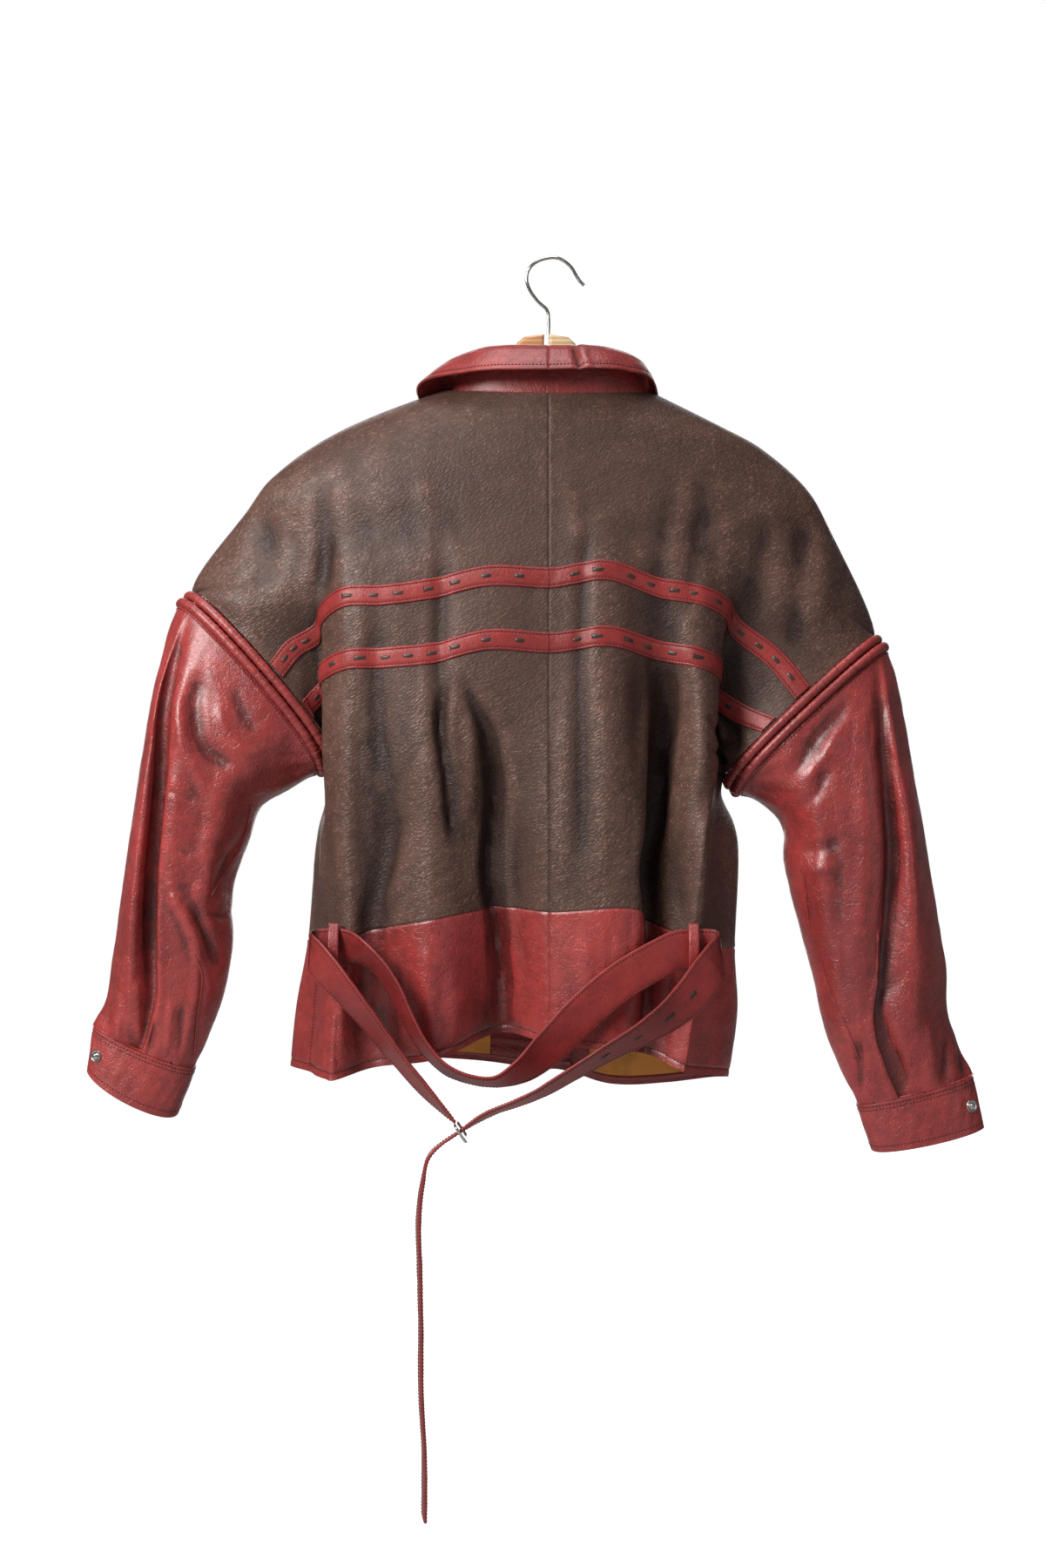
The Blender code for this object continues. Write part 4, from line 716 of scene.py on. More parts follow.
def make_panels():
    """The back and the two fronts as surfaces."""
    back = back_rows()
    left, right = front_rows("left", back), front_rows("right", back)
    past_left, past_right, before_left, before_right = wrap_neighbours(back, left, right)
    side, lap = FRONT_PLACES[1], FRONT_PLACES[-1] - FRONT_PLACES[-2]
    first, last = BACK_PLACES[1], BACK_PLACES[-1] - BACK_PLACES[-2]
    seams = [("left", "back", 0), ("right", "back", -1)]
    edges = {"left": (back[:, 0] + left[:, 0]) / 2, "right": (back[:, -1] + right[:, 0]) / 2}
    return {
        "back": Panel(back, BACK_PLACES, (side, past_left), (side, past_right), seams, edges, -1, BACK_FOLDS),
        "left": Panel(
            left, FRONT_PLACES, (first, before_left), (lap, 2 * left[:, -1] - left[:, -2]),
            [("left", "front", 0)], edges, 1, FRONT_FOLDS,
        ),
        "right": Panel(
            right, FRONT_PLACES, (last, before_right), (lap, 2 * right[:, -1] - right[:, -2]),
            [("right", "front", 0)], edges, -1, FRONT_FOLDS,
        ),
    }


def fold_depths(points, folds):
    """How far each point sinks under soft troughs and ridges drawn as lines, which fade out at their ends."""
    spots = points[..., [0, 2]]
    total = np.zeros(points.shape[:-1])
    for line, width, depth in folds:
        path = smooth_line([(x, 0, z) for x, z in line], 14)[:, [0, 2]]
        run = run_lengths(path)
        nearest, along = np.full(total.shape, FAR), np.zeros(total.shape)
        for a, b, start, end in zip(path[:-1], path[1:], run[:-1], run[1:]):
            share = np.clip((spots - a) @ (b - a) / ((b - a) @ (b - a)), 0, 1)
            away = np.linalg.norm(spots - a - share[..., None] * (b - a), axis=-1)
            closer = away < nearest
            nearest = np.where(closer, away, nearest)
            along = np.where(closer, start + (end - start) * share, along)
        ends = np.clip(np.minimum(along, run[-1] - along) / (0.3 * run[-1]), 0, 1)
        total += depth * bell(nearest, width) * ends * ends * (3 - 2 * ends)
    return total * sizes().fold_share


def cloud(points, size, seed=0):
    """Soft noise from -1 to 1 whose swells are about a size apart."""
    spots = points / size + (seed * 7.31, seed * 3.77, seed * 5.19)
    cell = np.floor(spots).astype(np.int64)
    part = spots - cell
    part = part * part * (3 - 2 * part)
    total = np.zeros(points.shape[:-1])
    for corner in itertools.product((0, 1), repeat=3):
        x, y, z = np.moveaxis(cell + corner, -1, 0)
        mixed = (x * 73856093) ^ (y * 19349663) ^ (z * 83492791)
        mixed = (mixed * (mixed * mixed * 15731 + 789221) + 1376312589) & 0x7FFFFFFF
        share = np.prod(np.where(np.array(corner) == 1, part, 1 - part), axis=-1)
        total += share * (1 - mixed / 1073741824)
    return total


def creases(points, size, depth, stretch=(1, 1, 1)):
    """Sharp little valleys between soft swells, here and there over a hide that has been worn."""
    spots = points / np.array(stretch, float)
    spots = spots + 0.3 * size * np.stack([cloud(spots, size * 1.4, seed) for seed in (3, 5, 7)], axis=-1)
    lines = bell(cloud(spots, size, 11), 0.16)
    fine = bell(cloud(spots, size * 0.5, 13), 0.2)
    where = np.clip(0.5 + 1.3 * cloud(points, size * 2.6, 17), 0, 1)
    swells = 0.35 * cloud(spots, size * 1.1, 19) + 0.15 * cloud(spots, size * 0.6, 23)
    return depth * (swells + (lines + 0.4 * fine) * where)


def slack_waves(points, depth):
    """Slight unevenness of a hide."""
    return depth * (0.6 * cloud(points, 17, 29) + 0.4 * cloud(points, 8, 31))


def rubbing_and_shading_mask(points, normals, reach=5):
    """From 0 in the hollows to 1 on the crests. The leather makes the crests lighter, partly as real rubbing and
    partly as a painted highlight, adds painted sparkle there, and darkens the hollows with painted shade.
    """
    padded = np.pad(points, ((reach, reach), (reach, reach), (0, 0)), mode="edge")
    rows, columns = points.shape[:2]
    around = (
        padded[: rows, reach : reach + columns] + padded[2 * reach :, reach : reach + columns]
        + padded[reach : reach + rows, :columns] + padded[reach : reach + rows, 2 * reach :]
    ) / 4
    bulge = np.einsum("vuk,vuk->vu", points - around, normals)
    return np.clip(0.5 + bulge * 1.6 / (reach + 0.5), 0, 1)


# Meshes.


def grid_shape(grids, wear=None):
    """A bmesh with one Blender grid for each array of points, and each point's value on the mask from hollows to
    crests, which the leather turns into rubbing, painted shade and painted highlights.
    """
    shape = bmesh.new()
    layer = shape.verts.layers.float.new("wear")
    for points in grids:
        rows, columns = points.shape[:2]
        made = bmesh.ops.create_grid(shape, x_segments=columns - 1, y_segments=rows - 1, size=1.0)
        places = (points * MM).tolist()
        rubbing_and_shading_values = np.full((rows, columns), 0.5) if wear is None else wear
        for vertex in made["verts"]:
            i = round((vertex.co.x + 1) / 2 * (columns - 1))
            j = round((vertex.co.y + 1) / 2 * (rows - 1))
            vertex.co = places[j][i]
            vertex[layer] = rubbing_and_shading_values[j, i]
    return shape


def add_piece(name, shape, material, node=None, smooth_angle=50):
    """Links the finished bmesh as a piece on the jacket's one body. It stands for a node where one is named."""
    mesh = bpy.data.meshes.new(name)
    shape.to_mesh(mesh)
    shape.free()
    mesh.shade_smooth()
    mesh.set_sharp_from_angle(angle=math.radians(smooth_angle))
    piece = bpy.data.objects.new(name, mesh)
    bpy.context.scene.collection.objects.link(piece)
    mesh.materials.append(material)
    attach(piece, "root")
    if node:
        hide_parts(node)
    return piece


def shell_piece(name, outer, inner, wear, material, node):
    """A leather wall between an outer and an inner grid of points, joined round their edges."""
    shape = grid_shape((outer, inner), wear)
    bmesh.ops.bridge_loops(shape, edges=[edge for edge in shape.edges if edge.is_boundary])
    bmesh.ops.recalc_face_normals(shape, faces=shape.faces)
    return add_piece(name, shape, material, node)


def tube_piece(name, points, wear, wall, material, node):
    """A sheet whose last column meets its first, where it goes all round, thickened inwards into a wall."""
    shape = grid_shape((points,), wear)
    bmesh.ops.remove_doubles(shape, verts=shape.verts, dist=MERGE)
    piece = add_piece(name, shape, material, node)
    thick = piece.modifiers.new("wall", "SOLIDIFY")
    thick.thickness = wall * MM
    thick.offset = -1.0
    return piece


def cut_of(points):
    """The widest and longest way across a grid of points, and its area, in metres: the leather's own cut."""
    across = np.linalg.norm(np.diff(points, axis=1), axis=2).sum(axis=1).max()
    down = np.linalg.norm(np.diff(points, axis=0), axis=2).sum(axis=0).max()
    sides = np.diff(points, axis=1)[:-1], np.diff(points, axis=0)[:, :-1]
    area = np.linalg.norm(np.cross(*sides), axis=2).sum()
    return across * MM, down * MM, area * MM * MM


def declare_sheet(points):
    """Works out the cut of a piece from its own net: its width, its length and its area, held between the least
    share of its box and the whole box. Nothing is done with the result.
    """
    width, length, area = cut_of(points)
    area = min(max(area, LEAST_CUT * width * length), width * length)


def distance_from(points, edge):
    """How far each point of a grid lies from one edge of it, along the leather."""
    axis = 0 if edge in ("top", "bottom") else 1
    steps = np.linalg.norm(np.diff(points, axis=axis), axis=2)
    if edge in ("bottom", "last"):
        steps = np.flip(steps, axis)
    run = np.concatenate([np.zeros_like(np.take(steps, [0], axis)), np.cumsum(steps, axis=axis)], axis=axis)
    return np.flip(run, axis) if edge in ("bottom", "last") else run


def seam_sink(distance):
    """A seamed edge turns in, with a low swell beside it."""
    return 0.8 * bell(distance, 1.1) - 0.06 * bell(distance - 4, 2.6)


def pull_edge(grid, edge, distance=HALF_GAP):
    """Moves an edge of a grid towards its next line, by half a seam gap where nothing else is stated."""
    line, following = {"first": (grid[:, 0], grid[:, 1]), "last": (grid[:, -1], grid[:, -2])}[edge]
    line += unit(following - line) * distance


def at_distance(grid, normals, edge, distance):
    """The line of points and normals that runs inside a grid at a distance from one edge."""
    away = distance_from(grid, edge)
    if edge in ("top", "bottom"):
        grid, normals, away = grid.transpose(1, 0, 2), normals.transpose(1, 0, 2), away.T
    if away[0, 0] > away[0, -1]:
        grid, normals, away = grid[:, ::-1], normals[:, ::-1], away[:, ::-1]
    line, up = (np.array([at_place(*pair, distance) for pair in zip(rows, away)]) for rows in (grid, normals))
    return line, unit(up)


def stitch_rows(name, lines, material):
    """Sewn stitches along lines of (points, normals): short rounded threads that sink in at both ends."""
    pitch, thread = sizes().stitch_pitch / MM, sizes().thread / MM
    shape = bmesh.new()
    shape.verts.layers.float.new("wear")
    for points, normals in lines:
        run = run_lengths(points)
        count = max(int(run[-1] / pitch), 1)
        for k in range(count):
            place = (k + 0.5) * run[-1] / count
            spot, ahead, behind = (at_place(points, run, place + step) for step in (0, 0.4, -0.4))
            up = unit(at_place(normals, run, place))
            along = unit(ahead - behind)
            side = unit(np.cross(up, along))
            turn = Matrix(np.column_stack([along, side, np.cross(along, side)]).tolist()).to_4x4()
            size = Matrix.Diagonal((pitch * 0.36 * MM, thread * 0.55 * MM, thread * 0.6 * MM, 1))
            seat = Matrix.Translation(Vector((spot + up * thread * 0.25) * MM))
            bmesh.ops.create_icosphere(shape, subdivisions=1, radius=1.0, matrix=seat @ turn @ size)
    return add_piece(name, shape, material)


def round_tube(name, points, radii, sides, material, node=None, ends="closed", wear=0.5):
    """A tube round a line of points, with a radius at each. Its ends join up, or are rounded off."""
    points = np.asarray(points, float)
    radii = np.broadcast_to(radii, len(points)).astype(float)
    if ends == "loop":
        ahead, behind = np.roll(points, -1, axis=0), np.roll(points, 1, axis=0)
        tangents = unit(ahead - behind)
    else:
        points = np.concatenate([points[:1], points, points[-1:]])
        radii = np.concatenate([[0.02], radii, [0.02]])
        tangents = unit(np.gradient(points[1:-1], axis=0))
        tangents = np.concatenate([tangents[:1], tangents, tangents[-1:]])
    start = np.cross(tangents[0], (0, 0, 1.0))
    side = unit(start if np.linalg.norm(start) > 0.1 else np.cross(tangents[0], (1.0, 0, 0)))
    sides_of = [side]
    for tangent in tangents[1:]:
        side = unit(side - tangent * (side @ tangent))
        sides_of.append(side)
    sides_of = np.array(sides_of)
    ups = np.cross(tangents, sides_of)
    turns = np.linspace(0, 2 * math.pi, sides + 1)
    rings = points[:, None] + radii[:, None, None] * (
        np.cos(turns)[None, :, None] * sides_of[:, None] + np.sin(turns)[None, :, None] * ups[:, None]
    )
    if ends == "loop":
        rings = np.concatenate([rings, rings[:1]])
    rings[:, -1] = rings[:, 0]
    shape = grid_shape((rings,), np.full(rings.shape[:2], wear))
    bmesh.ops.remove_doubles(shape, verts=shape.verts, dist=0.00005)
    holes = [edge for edge in shape.edges if edge.is_boundary]
    if holes:
        bmesh.ops.holes_fill(shape, edges=holes)
    bmesh.ops.recalc_face_normals(shape, faces=shape.faces)
    return add_piece(name, shape, material, node)


# Shaders.


def feed(tree, node, inputs):
    """Gives a node's inputs their values and links."""
    for socket, value in inputs.items():
        if isinstance(value, bpy.types.NodeSocket):
            tree.links.new(value, node.inputs[socket])
        else:
            node.inputs[socket].default_value = value


def add_node(tree, kind, inputs=None, **settings):
    """Adds a shader node, with its settings, values and links."""
    node = tree.nodes.new(f"ShaderNode{kind}")
    for name, value in settings.items():
        setattr(node, name, value)
    feed(tree, node, inputs or {})
    return node


def maths(tree, operation, first, second=0.0, clamp=False):
    """The output of a Math node."""
    return add_node(tree, "Math", {0: first, 1: second}, operation=operation, use_clamp=clamp).outputs[0]


def blend_colours(tree, share, first, second, blend_type="MIX"):
    """The output of a colour Mix node."""
    node = add_node(tree, "Mix", {0: share, 6: first, 7: second}, data_type="RGBA", blend_type=blend_type)
    return node.outputs[2]


def fade(tree, value, low, high, to_low=0.0, to_high=1.0):
    """The output of a Map Range node that is smooth between two values."""
    values = {"Value": value, 1: low, 2: high, 3: to_low, 4: to_high}
    return add_node(tree, "MapRange", values, interpolation_type="SMOOTHSTEP").outputs[0]


def noise(tree, vector, scale, detail=3.0, roughness=0.55):
    """The output of a Noise Texture."""
    values = {"Vector": vector, "Scale": scale, "Detail": detail, "Roughness": roughness}
    return add_node(tree, "TexNoise", values).outputs[0]


def new_group(name, inputs, outputs):
    """An empty shader node group with named sockets."""
    group = bpy.data.node_groups.new(name, "ShaderNodeTree")
    for socket, kind, value in inputs:
        made = group.interface.new_socket(socket, in_out="INPUT", socket_type=f"NodeSocket{kind}")
        if value is not None:
            made.default_value = value
    for socket, kind in outputs:
        group.interface.new_socket(socket, in_out="OUTPUT", socket_type=f"NodeSocket{kind}")
    return group, group.nodes.new("NodeGroupInput").outputs, group.nodes.new("NodeGroupOutput")


@cache
def grain_group():
    """Pebbled leather grain: rounded pebbles between fine valleys, with longer creases through them."""
    group, given, result = new_group(
        "leather_grain",
        [
            ("Position", "Vector", None), ("Pebbles", "Float", 520.0), ("Pebble height", "Float", 0.7),
            ("Creases", "Float", 0.5), ("Wrinkles", "Float", 0.5),
        ],
        [("Height", "Float"), ("Valleys", "Float")],
    )
    times, plus, less = (partial(maths, group, kind) for kind in ("MULTIPLY", "ADD", "SUBTRACT"))
    position, pebbles = given["Position"], given["Pebbles"]
    drift = add_node(group, "TexNoise", {"Vector": position, "Scale": 90.0, "Detail": 2.0}).outputs[1]
    shift = add_node(group, "VectorMath", {0: drift, "Scale": 0.006}, operation="SCALE").outputs[0]
    moved = add_node(group, "VectorMath", {0: position, 1: shift}, operation="ADD").outputs[0]
    cells, wide = (
        add_node(
            group, "TexVoronoi", {"Vector": moved, "Scale": scale}, feature="DISTANCE_TO_EDGE"
        ).outputs["Distance"]
        for scale in (pebbles, times(pebbles, 0.27))
    )
    domes = fade(group, cells, 0.0, 0.32)
    patches = fade(group, noise(group, position, 34.0), 0.42, 0.62)
    creases = times(fade(group, wide, 0.0, 0.07, 1.0, 0.0), patches)
    creases = times(creases, given["Creases"])
    fine = noise(group, moved, 1600.0, 2.0)
    height = times(domes, given["Pebble height"])
    height = plus(height, times(fine, 0.2))
    height = less(height, times(creases, 0.9))
    folds = maths(group, "ABSOLUTE", less(noise(group, moved, 62.0, 3.0, 0.6), 0.5))
    folds = fade(group, folds, 0.0, 0.07)
    slack = plus(folds, times(noise(group, position, 150.0), 1.6))
    slack = times(slack, given["Wrinkles"])
    # The valleys and creases of the grain, which the leather colour darkens as painted shade and makes rougher.
    valleys = times(fade(group, cells, 0.02, 0.16, 1.0, 0.0), given["Pebble height"])
    valleys = maths(group, "MAXIMUM", valleys, creases)
    feed(group, result, {"Height": plus(height, slack), "Valleys": valleys})
    return group


@cache
def dye_rub_and_painted_light_group():
    """Uneven dye, worn crests and painted light: a colour for each place from the leather's colour and its mask from
    hollows to crests, with painted shade in the hollows, grain valleys and creases, and painted highlights and
    sparkle on the crests.
    """
    group, given, result = new_group(
        "leather_patina",
        [
            ("Position", "Vector", None), ("Colour", "Color", (0.2, 0.1, 0.1, 1)), ("Wear", "Float", 0.5),
            ("Valleys", "Float", 0.0), ("Mottle", "Float", 0.25), ("Rub", "Float", 0.3),
        ],
        [("Colour", "Color"), ("Roughness", "Float")],
    )
    times, plus, less = (partial(maths, group, kind) for kind in ("MULTIPLY", "ADD", "SUBTRACT"))
    position, colour = given["Position"], given["Colour"]
    broad = noise(group, position, 9.0, 4.0)
    small = noise(group, position, 70.0, 4.0, 0.65)
    uneven = plus(times(broad, 0.6), times(small, 0.4))
    shade = fade(group, uneven, 0.36, 0.64, -1.0, 1.0)
    shade = times(shade, given["Mottle"])
    value = plus(shade, 1.0)
    # Lighter crests: real rubbing, and partly a painted highlight where the fold crests catch the light.
    crest = fade(group, given["Wear"], 0.52, 0.95)
    crest = times(crest, fade(group, small, 0.35, 0.6, 0.4, 1.0))
    # Painted shade: the hollows of the folds are darkened where shade falls.
    painted_fold_shade = fade(group, given["Wear"], 0.1, 0.48, 1.0, 0.0)
    value = plus(value, times(crest, given["Rub"]))
    # Painted sparkle: bright specks on the crests that stand for reflected light.
    painted_sparkle = fade(group, noise(group, position, 340.0, 2.0), 0.56, 0.7)
    painted_sparkle = times(painted_sparkle, fade(group, given["Wear"], 0.42, 0.85))
    painted_sparkle = times(painted_sparkle, given["Rub"])
    value = plus(value, times(painted_sparkle, 2.8))
    value = less(value, times(painted_fold_shade, 0.4))
    # Painted shade in the valleys and creases of the grain.
    value = less(value, times(given["Valleys"], 0.34))
    turned = add_node(
        group, "HueSaturation", {"Hue": 0.5, "Saturation": 1.0, "Value": value, "Color": colour}
    ).outputs[0]
    rough = plus(times(shade, 0.25), 1.0)
    rough = less(rough, times(crest, 0.28))
    rough = plus(rough, times(given["Valleys"], 0.18))
    feed(group, result, {"Colour": turned, "Roughness": rough})
    return group


def new_material(name):
    """A material with its node tree, its Principled BSDF and the position of each point on the piece."""
    made = bpy.data.materials.new(name)
    made.use_nodes = True
    tree = made.node_tree
    position = add_node(tree, "TexCoord").outputs["Object"]
    return made, tree, tree.nodes["Principled BSDF"], position


def toned(colour, share=1.0):
    """A colour as a shader takes it, darker by a share."""
    return (*(part * share for part in colour), 1)


def leather(name, colour, gloss, grain_of, bump, dye_rub_and_painted_light_of, stretch=(1, 1, 1), lean=0):
    """A leather. Gloss is its roughness, specular level and coat, and the groups' values come in order."""
    made, tree, shader, position = new_material(name)
    turn = (0, math.radians(lean), 0)
    position = add_node(tree, "Mapping", {"Vector": position, "Rotation": turn}).outputs[0]
    position = add_node(tree, "Mapping", {"Vector": position, "Scale": stretch}).outputs[0]
    # The mask from hollows to crests: real rubbing on the crests, and also painted shade in the hollows and painted
    # highlights and sparkle on the crests.
    wear = add_node(tree, "Attribute", attribute_name="wear").outputs["Fac"]
    grain = add_node(tree, "Group", node_tree=grain_group())
    feed(tree, grain, {"Position": position})
    feed(tree, grain, dict(zip(("Pebbles", "Pebble height", "Creases", "Wrinkles"), grain_of)))
    # The leather's colour: uneven dye and rubbing, with painted shade and painted highlights.
    dye_rub_and_painted_light = add_node(tree, "Group", node_tree=dye_rub_and_painted_light_group())
    feed(tree, dye_rub_and_painted_light, {"Position": position, "Wear": wear, "Valleys": grain.outputs["Valleys"]})
    feed(tree, dye_rub_and_painted_light, dict(zip(("Colour", "Mottle", "Rub"), (toned(colour), *dye_rub_and_painted_light_of))))
    relief = add_node(tree, "Bump", {"Height": grain.outputs["Height"], "Strength": 0.9, "Distance": bump * MM})
    feed(tree, shader, {
        "Base Color": dye_rub_and_painted_light.outputs["Colour"],
        "Roughness": maths(tree, "MULTIPLY", dye_rub_and_painted_light.outputs["Roughness"], gloss[0], clamp=True),
        "Normal": relief.outputs[0],
        "Specular IOR Level": gloss[1],
        "Coat Weight": gloss[2],
        "Coat Roughness": 0.33,
    })
    return made


@cache
def olive_leather():
    """Body leather with a pebbled grain that leans across the hide."""
    gloss, grain, dye_rub_and_painted_light = (0.48, 0.3, 0.03), (250.0, 0.6, 0.5, 0.2), (0.14, 0.45)
    return leather("olive_hide", colours().olive, gloss, grain, 0.44, dye_rub_and_painted_light, (0.62, 1, 1.5), 30)


@cache
def red_leather():
    """Smooth glossy leather with fine wrinkles."""
    gloss, grain, dye_rub_and_painted_light = (0.42, 0.5, 0.5), (420.0, 0.3, 0.5, 0.6), (0.24, 0.1)
    return leather("red_hide", colours().red, gloss, grain, 0.42, dye_rub_and_painted_light)


@cache
def strip_leather():
    """The lighter red of the strips and the belt."""
    gloss, grain, dye_rub_and_painted_light = (0.42, 0.4, 0.12), (700.0, 0.3, 0.6, 0.4), (0.2, 0.12)
    return leather("strip_hide", colours().strip, gloss, grain, 0.25, dye_rub_and_painted_light)


@cache
def lace_leather():
    """The olive lace."""
    return leather("lace_hide", colours().olive, (0.4, 0.5, 0.1), (900.0, 0.4, 0.2, 0.3), 0.12, (0.2, 0.6))


@cache
def thread_material():
    """Dark red sewing thread with the twist of its strands."""
    made, tree, shader, position = new_material("thread")
    tint = fade(tree, noise(tree, position, 900.0, 2.0), 0.35, 0.65)
    colour = blend_colours(tree, tint, (0.016, 0.003, 0.003, 1), (0.06, 0.012, 0.011, 1))
    feed(tree, shader, {"Base Color": colour, "Roughness": 0.6})
    return made


@cache
def lining_cloth():
    """Mustard lining, woven in fine warp and weft, with a satin gloss."""
    made, tree, shader, position = new_material("lining_cloth")
    warp, weft = (
        add_node(tree, "TexWave", {"Vector": position, "Scale": scale, "Distortion": 0.3}, bands_direction=way)
        for scale, way in ((420.0, "X"), (300.0, "Z"))
    )
    weave = maths(tree, "MAXIMUM", warp.outputs["Fac"], weft.outputs["Fac"])
    blotch = fade(tree, noise(tree, position, 30.0), 0.35, 0.65)
    cloth = blend_colours(tree, blotch, toned(colours().lining, 0.72), toned(colours().lining))
    dim = fade(tree, weave, 0.2, 0.9, 0.82, 1.0)
    shaded = add_node(tree, "HueSaturation", {"Value": dim, "Color": cloth}).outputs[0]
    relief = add_node(tree, "Bump", {"Height": weave, "Strength": 0.5, "Distance": 0.00008}).outputs[0]
    feed(tree, shader, {"Base Color": shaded, "Normal": relief, "Roughness": 0.55, "Sheen Weight": 0.25})
    return made


@cache
def wood_material(name):
    """Varnished beech: long grain lines, darker pores and a soft gloss."""
    colour = getattr(colours(), name)
    made, tree, shader, position = new_material(f"varnished_{name}")
    along = add_node(tree, "Mapping", {"Vector": position, "Scale": (6.0, 40.0, 60.0)}).outputs[0]
    waves = {"Vector": along, "Scale": 0.9, "Distortion": 3.0, "Detail": 3.0}
    rings = add_node(tree, "TexWave", waves, bands_direction="Z").outputs["Fac"]
    pores = add_node(tree, "Mapping", {"Vector": position, "Scale": (90.0, 900.0, 900.0)}).outputs[0]
    flecks = fade(tree, noise(tree, pores, 1.0, 2.0), 0.56, 0.68)
    grain = blend_colours(tree, fade(tree, rings, 0.2, 0.8), toned(colour), toned(colour, 0.68))
    grain = blend_colours(tree, maths(tree, "MULTIPLY", flecks, 0.5), grain, toned(colour, 0.5))
    relief = add_node(tree, "Bump", {"Height": flecks, "Strength": 0.4, "Distance": 0.00006}, invert=True)
    rough = fade(tree, flecks, 0.0, 1.0, 0.34, 0.5)
    feed(tree, shader, {"Base Color": grain, "Normal": relief.outputs[0], "Roughness": rough})
    feed(tree, shader, {"Coat Weight": 0.3, "Coat Roughness": 0.2})
    return made


@cache
def metal_material():
    """Bright nickel with light scuffs."""
    made, tree, shader, position = new_material("bright_metal")
    scuffs = fade(tree, noise(tree, position, 260.0, 4.0), 0.45, 0.7)
    colour = blend_colours(tree, scuffs, toned(colours().steel), toned(colours().steel, 0.72))
    rough = fade(tree, scuffs, 0.0, 1.0, 0.16, 0.36)
    feed(tree, shader, {"Base Color": colour, "Roughness": rough, "Metallic": 1.0})
    return made


@cache
def slit_shade_material():
    """Painted shade for a lace slit: a dark patch that stands for the shadow in the opening."""
    made, tree, shader, position = new_material("slit")
    shade = fade(tree, noise(tree, position, 500.0), 0.3, 0.7)
    colour = blend_colours(tree, shade, (0.02, 0.005, 0.004, 1), (0.05, 0.012, 0.01, 1))
    feed(tree, shader, {"Base Color": colour, "Roughness": 0.8})
    return made


# The jacket's pieces.


def lap_lift(points):
    """How far the upper front rises over the lower one beside the centre."""
    share = np.clip((46 - points[..., 0]) / 18, 0, 1)
    rise = np.zeros_like(points)
    rise[..., 1] = LAP_LIFT * share * share * (3 - 2 * share)
    return rise


def turn_in(points, normals):
    """Adds the seam allowance along the bottom edge, turned in under the next piece."""
    fold = points[-1] + unit(points[-1] - points[-2]) * 0.5 - normals[-1] * 0.9
    end = points[-1] + unit(points[-1] - points[-2]) * 2.6 - normals[-1] * (WALL + 0.1)
    return np.concatenate([points, [fold, end]]), np.concatenate([normals, normals[-1:], normals[-1:]])


def panel_piece(name, panel, rows, columns, seams, lift=False):
    """A leather panel between two rows and two columns, with seamed edges. It returns its face and normals."""
    heights, across = (
        places_between(*span, [end for end, edge in zip(("start", "end"), edges) if edge in seams])
        for span, edges in ((rows, ("top", "bottom")), (columns, ("first", "last")))
    )
    if rows == BAND:
        heights = np.sort(np.concatenate([heights, rows[1] - HEM_STITCH + np.array([-1.3, 0.1, 1.4])]))
    outer, normals = panel.worn(heights, across)
    net = panel.at(heights, across)
    if rows == BAND:
        sunk = 0.9 * bell(distance_from(net, "bottom") - HEM_STITCH, 1.3)
        outer = outer - normals * sunk[..., None]
    for edge in seams:
        away = distance_from(net, edge)
        puckers = 0.28 * np.sin(net[..., 0] / 2.1 + net[..., 2] / 3.3) * np.exp(-away / 9)
        outer = outer - normals * (seam_sink(away) + puckers)[..., None]
    if "bottom" in seams:
        outer, normals = turn_in(outer, normals)
    inner = outer - normals * WALL
    if lift:
        rise = lap_lift(outer)
        outer, inner = outer + rise, inner + rise
    material = red_leather() if rows == BAND else olive_leather()
    piece = shell_piece(f"{name}_leather", outer, inner, rubbing_and_shading_mask(outer, normals), material, name)
    declare_sheet(net)
    return outer, normals


class JACKET_OT_backs(bpy.types.Operator):
    """Makes the two halves of the back and of its hem band, with the seams between them."""

    bl_idname = "jacket.backs"
    bl_label = "Back and back band"

    def execute(self, context):
        panel = make_panels()["back"]
        centre = BACK_PLACES[CENTRE_COLUMN]
        halves = (("left", (BACK_PLACES[0], centre), "last"), ("right", (centre, BACK_PLACES[-1]), "first"))
        hems = []
        for side, columns, seam in halves:
            body = f"back_{side}"
            panel_piece(body, panel, BODY, columns, ("bottom", seam))
            band = panel_piece(f"band_{body}", panel, BAND, columns, ("top", seam))
            hems.append(at_distance(*band, "bottom", HEM_STITCH))
            if side == "right":
                hems.append(at_distance(*band, "last", SEAM_STITCH))
        stitch_rows("stitches_back_hem", hems, thread_material())
        return {"FINISHED"}


